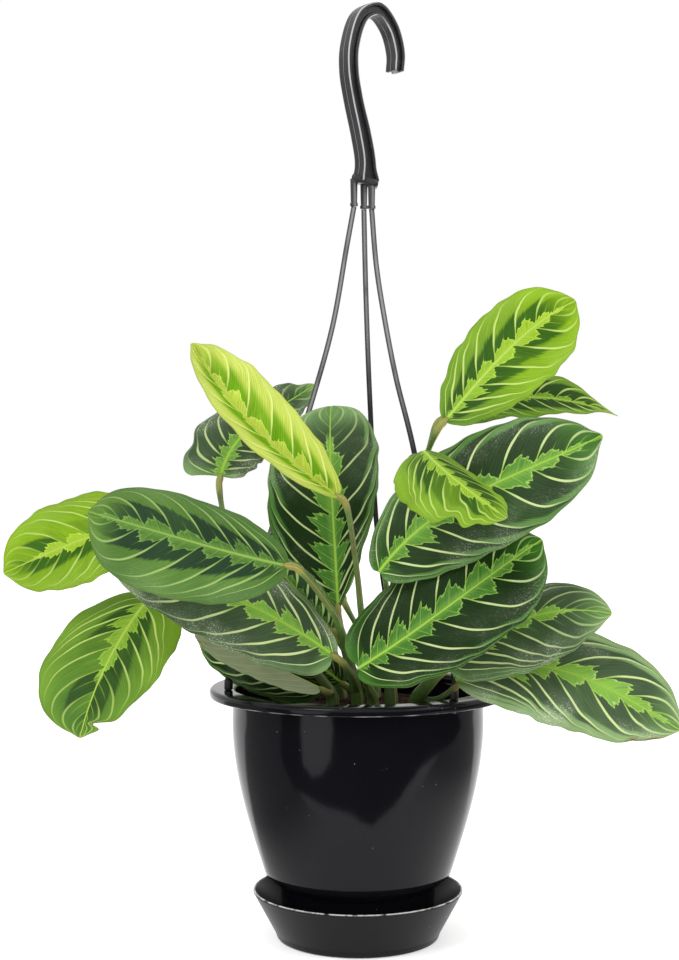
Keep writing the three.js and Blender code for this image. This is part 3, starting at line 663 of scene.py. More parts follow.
print("a blade has", 4 * GRID[0] * GRID[1] + 4 * sum(GRID), "triangles")

# %% [markdown]
# The markings are drawn in tones that come in pairs, the old leaf's and the young leaf's, and each leaf
# says how young it is. A prayer plant of this form has lemon new leaves, lime half-grown ones, and dark
# old ones with brown-green blotches. A picture of a leaf could be laid on, but it would blur close up
# and stretch where the blade bends, so everything is drawn by rule. FEATHER is the edge of the light
# band between one vein and the next, and VEIN_HALF the half-width of a vein in mm from the midrib to
# the margin, both as bent lines.

# %% The tones of the leaves
LOOKS = {
    "lemon": {"band": ("a0b62c", "b6c84a"), "rim": ("b8cc54", "c8d86e"), "dark": ("5a8e0a", "6c9c14"),
              "inner": ("a2ba34", "b0c24c"), "outer": ("b0c447", "bfcc64"), "vein": "dfe68c",
              "vein_in": "d0dc80", "middle": "c8d460", "soft": 0.14, "dust": 0.0,
              "under": ("c9d98a", "b7cc66", "8cab4c")},
    "lime": {"band": ("6f9e30", "98b828"), "rim": ("8cb846", "b0cc44"), "dark": ("29461a", "345e0b"),
             "inner": ("4a7227", "7aa016"), "outer": ("668e2c", "88ae24"), "vein": "c4da78",
             "vein_in": "a4c250", "middle": "aac652", "soft": 0.07, "dust": 0.1,
             "under": ("9dbb6a", "7fa352", "527838")},
    "green": {"band": ("44682a", "5c8430"), "rim": ("6a9048", "80a452"), "dark": ("1e3520", "2e4a2c"),
              "inner": ("486c2a", "648838"), "outer": ("4a6e34", "6c8c46"), "vein": "9eba6c",
              "vein_in": "7ca24c", "middle": "84a64a", "soft": 0.035, "dust": 0.3,
              "under": ("93a77e", "7b9468", "486040")},
    "dark": {"band": ("48782c", "7cac42"), "rim": ("8ab250", "aacc6a"), "dark": ("172e0d", "42563a"),
             "inner": ("33641a", "678950"), "outer": ("427028", "86a46c"), "vein": "c6d894",
             "vein_in": "96bc50", "middle": "94be44", "soft": 0.07, "dust": 1.0,
             "under": ("b0b894", "929e78", "5c6e52")},
}
FEATHER = [(0, 0.17), (0.06, 0.19), (0.14, 0.28), (0.22, 0.25), (0.33, 0.32), (0.44, 0.43), (0.51, 0.32),
           (0.6, 0.28), (0.67, 0.31), (0.75, 0.21), (0.82, 0.2), (0.88, 0.11), (0.94, 0.09), (1, 0.17)]
VEIN_HALF = [(0, 0.3), (0.2, 0.42), (0.36, 0.68), (0.6, 0.7), (0.85, 0.45), (1, 0.12)]
print("families of tones:", list(LOOKS))

# %% [markdown]
# Along the midrib runs a light feathered band: between two veins it reaches furthest in a spike in the
# middle and falls back to a notch before the next vein. Outside it lies a dark blotch whose outer edge
# frays in streaks along the veins, and beyond that the plain green of the leaf. The pale side veins are
# thin in the band, broadest across the blotch and fade towards the margin. All of it is drawn from the
# phase and from the share of the half-width, so it follows the blade however it bends.

# %% The upper side of a leaf
class UpperSide(Finish):
    """The finish of an upper side. Its steps share the phase, the place across and along the blade, and
    a few draws and clouds. The halves count their veins from PHASE_BASE, so each vein has its own draw,
    and count is the phase with that start taken off."""

    def __init__(self, name, look):
        super().__init__(name, roughness=0.42, gloss=0.09)
        self.look = look
        self.spot = self.place()
        flat = self.node("SeparateXYZ", {0: self.node("UVMap", uv_map="veins").outputs[0]})
        wander = self.calc("SUBTRACT", self.noise(self.spot, 45, detail=1), 0.5)
        self.phase = self.times_plus(wander, 0.08, flat.outputs[0])
        self.across = flat.outputs[1]
        self.along = self.value("along")
        self.near_tip = self.value("past_fade")
        self.gap = self.value("vein_gap")
        self.young = self.value("young")
        self.patchy = self.noise(self.spot, 28)
        self.age = self.calc("ADD", self.young, self.times_plus(self.patchy, 0.8, -0.4))
        self.part = self.calc("FRACT", self.phase)
        whole = self.calc("FLOOR", self.phase)
        self.draw = self.node("TexWhiteNoise", {"W": whole}, noise_dimensions="1D").outputs["Value"]
        first, second = PHASE_BASE
        self.count = self.calc("SUBTRACT", self.calc("MODULO", self.phase, second - first), first)
        self.veined = self.between(self.count, -0.02, 0.03)
        self.streak = self.drawn_out(12, 2.5, detail=3)
        self.stripes = self.calc("SINE", self.times_plus(self.streak, 5.0, self.times(self.phase, 60.0)))

    def drawn_out(self, per_vein, per_half, **kind):
        """Noise that runs along the veins: finer from vein to vein than from the midrib to the margin."""
        spread = {0: self.times(self.phase, per_vein), 1: self.times(self.across, per_half)}
        return self.noise(self.node("CombineXYZ", spread).outputs[0], 1.0, **kind)

    def aged(self, key):
        """A tone of this look, between its old and its young one."""
        old, young = self.look[key]
        return self.blend(self.age, tone(old), tone(young))

    def band(self):
        """The light band, and its paler rim: 1 inside an edge that is drawn anew for each vein, shrinks
        towards the tip and has small teeth."""
        edge = self.times(self.along_curve(self.part, FEATHER), self.times_plus(self.draw, 0.55, 0.75))
        edge = self.times(edge, self.value("band_size"))
        edge = self.times(edge, self.times_plus(self.near_tip, -0.9, 1.0))
        edge = self.times(edge, self.times_plus(self.along, -0.45, 1.25))
        tooth = self.calc("SUBTRACT", self.drawn_out(5, 11, detail=1, roughness=0.6), 0.5)
        beyond = self.calc("SUBTRACT", self.across, self.times_plus(tooth, 0.15, edge))
        light = self.between(beyond, 0.01, -0.01)
        light = self.times(light, self.between(self.count, -0.9, -0.1))
        light = self.times(light, self.between(self.near_tip, 1.0, 0.6))
        return light, self.times(self.between(beyond, -0.04, -0.012), light)

    def blotch(self):
        """The dark blotches: 1 up to a limit that rises from vein to vein and frays in streaks. Where
        the leaf's blotches are weak, some veins go without."""
        strength = self.value("blotch")
        limit = self.times(self.times_plus(self.part, 0.4, 0.75), self.value("blotch_reach"))
        limit = self.times_plus(self.calc("SUBTRACT", self.streak, 0.5), 0.3, limit)
        soft = self.look["soft"]
        dark = self.between(self.calc("SUBTRACT", limit, self.across), -soft, soft)
        ends = self.times(self.between(self.along, 0.0, 0.08), self.times_plus(self.veined, 0.3, 0.7))
        ends = self.times(ends, self.between(self.along, 1.0, 0.8))
        dark = self.times(self.times(dark, ends), self.calc("MINIMUM", self.times(strength, 1.3), 1.0))
        return self.times(dark, self.between(self.calc("ADD", self.draw, strength), 0.85, 1.1))

    def side_veins(self):
        """Where the side veins are: 1 within half their width of a whole phase, weaker at the margin."""
        near = self.times(self.calc("PINGPONG", self.part, 0.5), self.gap)
        veining = self.value("veining")
        half = self.times(self.along_curve(self.across, VEIN_HALF), self.times_plus(veining, 0.5, 0.45))
        vein = self.between(self.calc("SUBTRACT", near, half), 0.12, -0.2)
        weak = self.times(self.between(self.across, 1.05, 0.7), self.times_plus(self.near_tip, -0.5, 1.0))
        weak = self.times(weak, self.times_plus(veining, 0.7, 0.3))
        return self.times(self.times(vein, self.veined), weak)

    def greens(self):
        """The plain green, the blotches on it and the band over both, shaded by stripes and clouds."""
        colour = self.blend(self.between(self.across, 0.35, 1.0), self.aged("inner"), self.aged("outer"))
        colour = self.blend(self.blotch(), colour, self.aged("dark"))
        light, rim = self.band()
        inside = self.between(self.across, 0.02, 0.13)
        middle = tone(self.look["vein_in"])
        band = self.blend(self.times_plus(inside, -0.3, 0.3), self.aged("band"), middle)
        band = self.blend(self.between(self.streak, 0.5, 0.75), band, self.aged("inner"))
        colour = self.blend(light, colour, band)
        colour = self.blend(self.times(rim, 0.8), colour, self.aged("rim"))
        shade = self.times(self.times_plus(self.across, 0.1, 0.05), self.stripes)
        shade = self.calc("ADD", shade, self.times_plus(self.streak, 0.7, 0.65))
        shade = self.times(shade, self.times_plus(self.patchy, 0.4, 0.8))
        grey = self.node("CombineColor", {0: shade, 1: shade, 2: shade}).outputs[0]
        return self.blend(1.0, colour, grey, "MULTIPLY")

    def lined(self, colour, vein):
        """The same with its lines: faint twigs between the veins, the side veins, the midrib, and a dry
        line at the very margin."""
        twig = self.times(self.calc("ABSOLUTE", self.calc("SUBTRACT", self.part, 0.45)), self.gap)
        twig = self.times(self.between(twig, 0.35, 0.05), self.between(self.across, 0.42, 0.15))
        thin, broad = tone(self.look["vein_in"]), tone(self.look["vein"])
        colour = self.blend(self.times(twig, 0.4), colour, thin)
        colour = self.blend(vein, colour, self.blend(self.between(self.across, 0.15, 0.4), thin, broad))
        midrib = self.between(self.times_plus(self.along, 0.45, self.value("out_mm")), 0.95, 0.45)
        colour = self.blend(midrib, colour, tone(self.look["middle"]))
        return self.blend(self.times(self.between(self.across, 0.975, 1.0), 0.35), colour, tone("5c5a34"))

    def weathered(self, colour):
        """The same with pale dust in clouds of grains on its outer parts, and brown scars at the bites."""
        grains = self.between(self.noise(self.spot, 1500, detail=1), 0.57, 0.67)
        clouds = self.between(self.noise(self.spot, 35, detail=3), 0.42, 0.68)
        dust = self.times(clouds, self.between(self.across, 0.3, 0.9))
        dust = self.times(self.times_plus(grains, 0.75, 0.16), dust)
        amount = self.calc("ADD", self.calc("MAXIMUM", self.young, 0), 0.3)
        dust = self.times(dust, self.times(amount, self.look["dust"]))
        colour = self.blend(dust, colour, tone("c2cdb2"))
        return self.blend(self.value("scar"), colour, self.blend(grains, tone("6e5230"), tone("b8a678")))

    def relieved(self, vein):
        """Fine relief from the stripes, the sunk veins and a grain, and an uneven gloss."""
        relief = self.times_plus(self.stripes, 0.12, self.times(vein, -0.8))
        self.bump(self.times_plus(self.noise(self.spot, 900), 0.25, relief), 0.0003, 0.7)
        rough = self.times_plus(self.noise(self.spot, 60), 0.2, 0.34)
        self.feed(self.shader.inputs["Roughness"], rough)


def upper_finish(name, look):
    """The finish of an upper side in the tones of a look."""
    made = UpperSide(name, look)
    vein = made.side_veins()
    made.relieved(vein)
    return made.done(made.weathered(made.lined(made.greens(), vein)))


UPPERS = {look: upper_finish(look + "_leaf_upper", tones) for look, tones in LOOKS.items()}
print("nodes in an upper finish:", len(UPPERS["lemon"].node_tree.nodes))

# %% [markdown]
# The underside is paler and duller than the upper side, and its marks show through only faintly. A few
# steps are enough for it: clouds of two tones, fine stripes, the dark blotches shining through, and the
# veins and the midrib, which stand up on this side.

# %% The underside of a leaf
def under_finish(name, look):
    """The finish of an underside in the tones of a look: pale, deeper, and dark where the blotches are."""
    made = Finish(name, roughness=0.6, gloss=0.25)
    pale, deep, dark = (tone(text) for text in look["under"])
    flat = made.node("SeparateXYZ", {0: made.node("UVMap", uv_map="veins").outputs[0]})
    phase, across = flat.outputs[0], flat.outputs[1]
    place = made.place()
    near = made.times(made.calc("PINGPONG", made.calc("FRACT", phase), 0.5), made.value("vein_gap"))
    vein = made.between(near, 0.7, 0.3)
    stripes = made.calc("SINE", made.times(phase, 70.0))
    colour = made.blend(made.noise(place, 40), pale, deep)
    colour = made.blend(made.times_plus(stripes, 0.08, 0.08), colour, deep)
    clouds = made.between(made.noise(place, 30, detail=3), 0.35, 0.6)
    blotch = made.times(clouds, made.between(across, 0.85, 0.5))
    blotch = made.times(blotch, made.between(across, 0.12, 0.25))
    colour = made.blend(made.times(blotch, 0.35), colour, dark)
    colour = made.blend(made.times(vein, 0.35), colour, tone("c3cf9c"))
    midrib = made.between(made.times_plus(made.value("along"), 0.6, made.value("out_mm")), 1.2, 0.7)
    colour = made.blend(midrib, colour, tone("a9b86c"))
    colour = made.blend(made.value("scar"), colour, tone("5a4028"))
    made.bump(made.times_plus(stripes, 0.15, vein), 0.0003, 0.6)
    return made.done(colour)


UNDERS = {look: under_finish(look + "_leaf_under", tones) for look, tones in LOOKS.items()}
print("nodes in an under finish:", len(UNDERS["lemon"].node_tree.nodes))

# %% [markdown]
# With the shape and the finishes ready, one loop makes all the leaves. Smooth shading alone would round
# off the margin, so edges sharper than 50 degrees are marked sharp.

# %% The leaves themselves
SHARP = np.radians(50)
for leaf in LEAVES:
    look = leaf["look"]
    piece = skin(leaf["name"] + "_blade", *blade(leaf))
    settle(piece, leaf["name"], look + "_leaf", UPPERS[look], UNDERS[look])
    piece.data.set_sharp_from_angle(angle=SHARP)
print("blades made:", len(LEAVES))

# %% [markdown]
# The stalks are tubes on smooth lines through the same points as in the solids, whose fourth number is
# the radius. Blender's own curves with a bevel would give such tubes too, but here the rings can also
# be given a groove, and each point can tell the finish how far it is from its blade.

# %% Tubes along smooth lines
def through(knots, count):
    """A smooth line through knots (rows of x, y, z and radius): between two of them a cubic whose pace
    follows the square root of their distance, read at an even count of places."""
    knots = np.array(knots, float)
    knots = np.vstack([2 * knots[0] - knots[1], knots, 2 * knots[-1] - knots[-2]])
    pace = np.sqrt(np.linalg.norm(np.diff(knots[:, :3], axis=0), axis=1))[:, None]
    place = np.linspace(0, len(knots) - 3, count * 4)
    k = np.minimum(place.astype(int), len(knots) - 4)
    w = (place - k)[:, None]
    before, first, second, after = (knots[k + step] for step in range(4))
    gap0, gap1, gap2 = (pace[k + step] for step in range(3))
    leave = (first - before) / gap0 - (second - before) / (gap0 + gap1) + (second - first) / gap1
    arrive = (second - first) / gap1 - (after - first) / (gap1 + gap2) + (after - second) / gap2
    h1, h2 = 2 * w**3 - 3 * w**2 + 1, w**3 - 2 * w**2 + w
    h3, h4 = -2 * w**3 + 3 * w**2, w**3 - w**2
    line = h1 * first + h2 * leave * gap1 + h3 * second + h4 * arrive * gap1
    run = np.concatenate([[0], np.cumsum(np.linalg.norm(np.diff(line[:, :3], axis=0), axis=1))])
    even = np.linspace(0, run[-1], count)
    return np.stack([np.interp(even, run, column) for column in line.T], -1), run[-1]


def tube(line, radius, sides, squash=None):
    """A closed tube: rings of a radius round a line, each ring square to the line, and a point at each end.
    squash(angle) may change the radius round the ring."""
    tangent = unit(np.gradient(line, axis=0))
    chord = unit(line[-1] - line[0])
    guide = unit(np.cross(chord, [0.3, 1, 0.1]))
    normal = unit(guide - (tangent @ guide)[:, None] * tangent)
    side = np.cross(tangent, normal)
    angle = 2 * np.pi * np.arange(sides) / sides
    swell = np.ones(sides) if squash is None else squash(angle)
    ring = radius[:, None, None] * swell[None, :, None] * (
        normal[:, None] * np.cos(angle)[None, :, None] + side[:, None] * np.sin(angle)[None, :, None])
    points = (line[:, None] + ring).reshape(-1, 3)
    count = len(line)
    points = np.vstack([points, line[0], line[-1]])
    place = np.arange(sides)
    beside = (place + 1) % sides
    last = (count - 1) * sides
    caps = np.concatenate([np.stack([beside, place, np.full(sides, count * sides)], -1),
                           np.stack([last + place, last + beside, np.full(sides, count * sides + 1)], -1)])
    values = {"round": np.append(np.tile(np.cos(angle), count), [0, 0])}
    return points, facing_out(points, [lattice(count, sides, ring=True), caps]), values


bend, bend_length = through([(0, 0, 0, 1), (10, 0, 0, 1), (10, 10, 0, 1)], 9)
print("a test bend is", round(float(bend_length), 1), "mm long")

# %% [markdown]
# A shoot is one stem with the stalks of its leaves. The leaves of a prayer plant rise from the soil
# together, so each line starts at a stem's foot or on an older stalk. Their hidden course is guessed.

# %% The lines of the stalks
def stem(x, y, radius):
    """The foot of a shoot: upright in the soil."""
    return [(x, y, 118, radius), (x, y, 126, radius), (x, y, 136, radius)]


SHOOTS = {
    "shoot_left": [
        ("leaf_front_left", stem(0, -26, 3.2) + [
            (-3, -31, 149, 3), (-7, -39, 165, 2.8), (-10, -54, 177, 2.2), (-15, -74, 189, 1.8)]),
        ("leaf_centre", [(-6, -36, 160, 1.8), (-8, -38, 170, 1.5)]),
        ("leaf_mid_left", [(-1, -28, 141, 2.8), (-3, -42, 149, 2.3)]),
        ("leaf_inner_left", [(-6, -36, 160, 1.6)]),
        ("leaf_low_inner", [(-1, -27, 140, 1.6), (-2, -20, 142, 1.5)])],
    "shoot_lemon": [
        ("leaf_lemon", stem(8, -20, 2.6) + [(4, -33, 158, 2.2), (1, -50, 187, 1.8), (-2, -59, 214, 1.5)])],
    "shoot_back_left": [
        ("leaf_back_left", stem(-9, -2, 2.4) + [
            (-19, -2, 153, 2), (-46, 2, 182, 1.8), (-70, 10, 215, 1.5)])],
    "shoot_low_left": [
        ("leaf_far_left", stem(-14, -22, 2.8) + [
            (-23, -24, 150, 2.4), (-48, -28, 179, 1.8), (-75, -26, 206, 1.5)]),
        ("leaf_low_left", [(-30, -26, 159, 1.8), (-46, -28, 168, 1.5), (-74, -30, 184, 1.5)]),
        ("leaf_rolled", [(-14, -23, 139, 1.8)])],
    "shoot_right": [
        ("leaf_top_right", stem(18, -24, 3.2) + [
            (17, -25, 160, 2.8), (19, -27, 195, 2.2), (25, -33, 235, 1.8), (33.5, -50, 262, 1.5)]),
        ("leaf_upper_right", [(17, -25, 152, 2), (16, -32, 174, 1.8), (15, -47, 194, 1.5)]),
        ("leaf_small_lime", [
            (19, -27, 195, 1.8), (21, -33, 225, 1.5), (23, -45, 250, 1.5), (27, -67, 266, 1.5)]),
        ("leaf_twisted", [(19, -27, 195, 1.8), (25, -34, 235, 1.5), (35.5, -46, 265, 1.5)])],
    "shoot_front": [
        ("leaf_front_right", stem(8, -36, 2.6) + [(4, -50, 147, 2)])],
    "shoot_rim": [
        ("leaf_mid_right", stem(30, -41, 3) + [(36, -48, 145, 3.5), (41, -56, 152, 3)]),
        ("leaf_low_right", [(31, -40, 137, 1.8), (42, -50, 139, 1.5)])],
    "shoot_rear": [
        ("leaf_rear_right", stem(10, 12, 2.8) + [(11, 16, 152, 2.4), (14, 24, 172, 1.8)]),
        ("leaf_rear_middle", [(11, 16, 150, 1.8), (2, 22, 166, 1.5)]),
        ("leaf_rear_low_right", [(10, 14, 142, 1.8), (20, 22, 146, 1.5)])],
    "shoot_rear_left": [
        ("leaf_rear_left", stem(-12, 16, 2.6) + [(-13, 17, 152, 2.2), (-14, 19, 170, 1.8)]),
        ("leaf_rear_low_left", [(-12, 17, 140, 1.8), (-17, 26, 145, 1.5)])],
}
print("stalks:", sum(len(stalks) for stalks in SHOOTS.values()))

# %% [markdown]
# A stalk is not quite round: it has a shallow groove on the side towards the stem. Its foot is stouter,
# where the sheaths of older leaves wrap it, and just under the blade it swells into a joint, which in
# this plant turns the leaf up at night. Where the stalk comes from behind the blade, its end slips
# under the midrib.

# %% The shoots
SIDES = 16
JOINT_PLACE, JOINT_HALF, JOINT_SWELL = 9, 4.5, 0.3
SHEATH_HEIGHT, SHEATH_HALF, SHEATH_SWELL = 124, 16, 1.1
BURIED_BELOW = 120
DENT, DENT_HALF, OVAL = 0.22, 0.5, 0.05
OVERLAP, SHAFT_BACK, CREST_BEHIND, END_ON, END_BEHIND = 4.5, 4, 2.3, 2.5, 1.6


def joint_knots(leaf):
    """The last three knots of a stalk: before the blade's base, at it, and under the midrib. With joint 1
    they lie behind the blade, and with joint 0 in line with the midrib."""
    ends, _ = midrib_of(leaf)
    towards = unit(ends[1] - ends[0])
    behind = -unit(np.array(leaf["face"], float)) * leaf["joint"]
    back = unit(behind - (1 - leaf["joint"]) * towards)
    start = ends[0] + OVERLAP * leaf["joint"] * towards
    shaft = start + SHAFT_BACK * back + behind
    crest = start + CREST_BEHIND * behind
    end = start + END_ON * towards + END_BEHIND * behind
    return [(*shaft, 1.7), (*crest, 1.9), (*end, 0.6)]


def grooved(angle):
    """The radius round a stalk: a bell-shaped dent on one side, and a slightly oval ring."""
    return 1 - DENT * np.exp(-((angle - np.pi) / DENT_HALF) ** 2) + OVAL * np.cos(2 * angle)


def stalk(leaf, knots):
    """One stalk from its knots to the base of its blade. Its radius gets a bell at the joint, and one at
    the foot if it starts in the soil."""
    knots = knots + joint_knots(leaf)
    span = np.linalg.norm(np.array(knots[-1][:3]) - knots[0][:3])
    line, length = through(knots, int(8 + 0.7 * span))
    left = length * (1 - np.linspace(0, 1, len(line)))
    sheath = SHEATH_SWELL * np.exp(-(((line[:, 2] - SHEATH_HEIGHT) / SHEATH_HALF) ** 2))
    joint = JOINT_SWELL * np.exp(-(((left - JOINT_PLACE) / JOINT_HALF) ** 2))
    radius = line[:, 3] + joint + sheath * (knots[0][2] < BURIED_BELOW)
    points, groups, values = tube(line[:, :3], radius, SIDES, grooved)
    values["to_blade"] = np.append(np.repeat(left, SIDES), [length, 0])
    return points, groups, values


def stalk_green():
    """Green with a fine grain and browner stretches, paler along the groove, with painted shade that makes
    it darker near the soil under the leaves, and with a yellow-green to brown joint under the blade."""
    made = Finish("stalk_green", roughness=0.45, gloss=0.35)
    place = made.place()
    grain = made.noise(place, 400, detail=3)
    patchy = made.noise(place, 60)
    colour = made.blend(grain, tone("3c6022"), tone("6c8c46"))
    colour = made.blend(made.times(made.between(patchy, 0.45, 0.7), 0.5), colour, tone("5e4626"))
    joint = made.blend(made.between(patchy, 0.45, 0.75), tone("8a8c40"), tone("84703a"))
    colour = made.blend(made.between(made.value("to_blade"), 14, 8), colour, joint)
    ridge = made.between(made.calc("ABSOLUTE", made.calc("ADD", made.value("round"), 0.75)), 0.12, 0.02)
    colour = made.blend(made.times(ridge, 0.7), colour, tone("b0a060"))
    # Painted shade: darker low down, near the soil under the leaves.
    low = made.between(made.height(), 0.185, 0.15)
    colour = made.blend(made.times(low, 0.3), colour, tone("2c3a1c"))
    made.bump(grain, 0.0003, 0.5)
    return made.done(colour)


STALK_FINISH = stalk_green()
BY_NAME = {leaf["name"]: leaf for leaf in LEAVES}
for name, stalks in SHOOTS.items():
    body = joined([stalk(BY_NAME[leaf], knots) for leaf, knots in stalks])
    settle(skin(name + "_stalks", *body), name, "stem", STALK_FINISH)
print("shoots made:", len(SHOOTS))

# %% [markdown]
# The pot and its saucer are round, so each is a profile turned about the upright axis. A real moulding
# has no sharp corner. A Bevel modifier could round the corners of a turned mesh, but it is simpler to
# put a short curve in the place of each corner of the profile before it is turned.

# %% Turned pieces
def softened(corners, radius, steps=4, closed=False):
    """A path with each corner replaced by a small parabola that starts and ends `radius` away from it, or
    at 45% of a shorter side."""
    corners = np.array(corners, float)
    before, after = np.roll(corners, 1, 0), np.roll(corners, -1, 0)
    inward = [before - corners, after - corners]
    sizes = [np.maximum(np.linalg.norm(way, axis=1), 1e-9)[:, None] for way in inward]
    aways = [np.minimum(radius, 0.45 * size) for size in sizes]
    starts, ends = (corners + way / size * away for way, size, away in zip(inward, sizes, aways))
    w = np.linspace(0, 1, steps + 1)[None, :, None]
    curve = (1 - w) ** 2 * starts[:, None] + 2 * w * (1 - w) * corners[:, None] + w**2 * ends[:, None]
    if closed:
        return curve.reshape(-1, 2)
    return np.vstack([corners[0], curve[1:-1].reshape(-1, 2), corners[-1]])


def turned(profile, steps=180):
    """A profile of (radius, height) from the axis to the axis, carried round it: each point becomes a
    ring, and each end one point."""
    profile = np.array(profile, float)
    angle = 2 * np.pi * np.arange(steps) / steps
    inner = profile[1:-1]
    x, y = inner[:, :1] * np.cos(angle), inner[:, :1] * np.sin(angle)
    rings = np.stack([x, y, np.repeat(inner[:, 1:], steps, 1)], -1).reshape(-1, 3)
    points = np.vstack([rings, [0, 0, profile[0, 1]], [0, 0, profile[-1, 1]]])
    place = np.arange(steps)
    beside = (place + 1) % steps
    last = (len(inner) - 1) * steps
    caps = np.concatenate([np.stack([beside, place, np.full(steps, len(rings))], -1),
                           np.stack([last + place, last + beside, np.full(steps, len(rings) + 1)], -1)])
    return points, facing_out(points, [lattice(len(inner), steps, ring=True), caps]), {}


print("a softened corner has", len(softened([(0, 0), (9, 0), (9, 9)], 1)) - 2, "points")

# %% [markdown]
# The pot stands on a narrow foot, bulges up to a neck, and ends in a flat flange whose lip turns down.
# Its profile runs up the outside, round the rim and down the inside, one wall further in. Only the
# belly is a curve; the rest are straight lines with softened corners.

# %% The profiles of the pot and the saucer
WALL = 1.8
BELLY = [(51.5, 36), (61.5, 66), (71, 96), (69.8, 126)]
FOOT_OUTSIDE = [(0, 4), (38.5, 4), (39.5, 2.5), (41.5, 2.5), (43, 29), (48, 33), (51.5, 36)]
RIM = [(69.8, 126), (69.8, 137), (80.5, 137), (80.7, 134), (82, 134), (82.5, 135.5), (82.5, 137.6),
       (81.2, 139), (70.8, 139), (68, 137.8), (68, 126)]
FOOT_INSIDE = [(49.7, 36), (47, 34), (41, 30), (39.7, 5.5), (0, 5.5)]
SAUCER = [(0, 0), (43.3, 0), (44.9, 0.7), (45.5, 2.2), (46.1, 4), (58.2, 26), (57.9, 26.9), (57.2, 27),
          (56.7, 26.2), (44.2, 4), (42.9, 2.2), (0, 2.2)]


def belly(inward, steps=28):
    """The pot's bulging side, a cubic from above the foot to the neck, moved inwards by a wall."""
    ends = [np.array(point, float) for point in BELLY]
    return cubic(ends, np.linspace(0, 1, steps)[:, None])[0] - (inward, 0)


pot_profile = np.vstack([softened(FOOT_OUTSIDE, 1.2)[:-1], belly(0), softened(RIM, 0.9)[1:-1],
                         belly(WALL)[::-1], softened(FOOT_INSIDE, 1.2)[1:]])
saucer_profile = softened(SAUCER, 0.6)
print("points in the profiles:", len(pot_profile), "and", len(saucer_profile))

# %% [markdown]
# Black plastic hardly shows a colour of its own; what the eye reads is its gloss. So the colour is
# nearly flat, and the roughness, low on the pot and higher on the saucer, changes a little from place
# to place. A few specks of dust, a painted highlight that runs as a broken light line under the pot's
# lip, and the rubbed edge of the saucer are small, but without them the plastic looks drawn.

# %% The pot and the saucer
SPECK_SCALE, SPECK_SHARE = 420, 0.06
LIP_HIGHLIGHT_HEIGHT = 0.1343
RUBBED_FROM, RUBBED_FULL = 0.0262, 0.0269


def specks(made, place):
    """Small pale dust specks: the middles of a few cells."""
    cells = made.node("TexVoronoi", {"Vector": place, "Scale": SPECK_SCALE, "Randomness": 1.0})
    draw = made.node("SeparateColor", {0: cells.outputs["Color"]}).outputs[0]
    chosen = made.calc("GREATER_THAN", draw, 1 - SPECK_SHARE)
    chosen = made.times(chosen, made.between(made.noise(place, 30), 0.42, 0.6))
    return made.times(made.between(cells.outputs["Distance"], 0.13, 0.05), chosen)


def black_plastic(name, tones, roughness, gloss):
    """Moulded plastic, nearly black, with a faint change of sheen and a few specks of dust: the finish
    begun, and its colour so far."""
    made = Finish(name, roughness=roughness, gloss=gloss)
    place = made.place()
    base = made.blend(made.noise(place, 20), tone(tones[0]), tone(tones[1]))
    base = made.blend(made.times(specks(made, place), 0.6), base, tone("b8bcc0"))
    uneven = made.times_plus(made.noise(place, 45, detail=4), 0.06, roughness)
    made.feed(made.shader.inputs["Roughness"], uneven)
    made.bump(made.noise(place, 120, detail=4), 0.0004, 0.12)
    return made, base


def pot_gloss_black():
    """Glossy black, with a painted highlight: a light line under the lip that breaks off in places."""
    made, base = black_plastic("pot_gloss_black", ("0c0c10", "111115"), 0.09, 0.19)
    # The painted highlight: a light line just under the lip.
    away = made.calc("ABSOLUTE", made.calc("SUBTRACT", made.height(), LIP_HIGHLIGHT_HEIGHT))
    broken = made.between(made.noise(made.place(), 90), 0.4, 0.6)
    line = made.times(made.between(away, 0.0004, 0.0001), broken)
    return made.done(made.blend(made.times(line, 0.5), base, tone("a8a8aa")))


def saucer_satin_black():
    """Satin black, with an upper edge that is rubbed pale in places."""
    made, base = black_plastic("saucer_satin_black", ("101012", "18181a"), 0.28, 0.15)
    broken = made.between(made.noise(made.place(), 260, detail=3), 0.35, 0.55)
    wear_and_highlight = made.times(made.between(made.height(), RUBBED_FROM, RUBBED_FULL), broken)
    return made.done(made.blend(wear_and_highlight, base, tone("d0d0ce")))


settle(skin("pot_shell", *turned(pot_profile)), "pot", "gloss_black", pot_gloss_black())
settle(skin("saucer_dish", *turned(saucer_profile)), "saucer", "satin_black", saucer_satin_black())
print("pot and saucer turned, with a wall of", WALL, "mm")

# %% [markdown]
# The hanger is one soft moulding: a hook of I-shaped section, and three thin rods that each end in a peg
# in the rim. The hook comes first. It stands turned to the camera by about a third of a right angle, so
# that one of its flanges shows its broad face. A section carried along a line gives it in one go, and
# the line's own half-widths make it swell and taper. Its painted highlights, pale lines along corners,
# seams and rods, and how shiny the plastic is go with the points, because both differ from edge to edge
# and from top to bottom.

# %% The hook
HOOK_LINE = [(21, 484), (21.4, 494), (17.5, 508), (9.9, 516.2), (1, 511.5), (-4.6, 494), (-5, 480),
             (-2.7, 465), (1.6, 446), (4, 432), (4.2, 419.9)]
HOOK_HALF = [3.1, 3.3, 3.5, 3.7, 3.6, 3.5, 3.5, 3.5, 3.8, 4.0, 4.4]
HOOK_TURN = np.radians(36)
HOOK_AXIS = 4.2
FLANGE_DEPTH, FLANGE_EDGE, RECESS, CHAMFER = 4.8, 2.0, 2.2, 1.2
SEAM = 0.2
APART = 10
HIGHLIGHT_AT_CORNER, HIGHLIGHT_AT_SEAM = 0.9, 0.6
FLARE_LENGTH, FLARE_WIDTH, FLARE_DEPTH = 5, 1.2, 0.2
DULL_BELOW, DULL_OVER = 440, 60


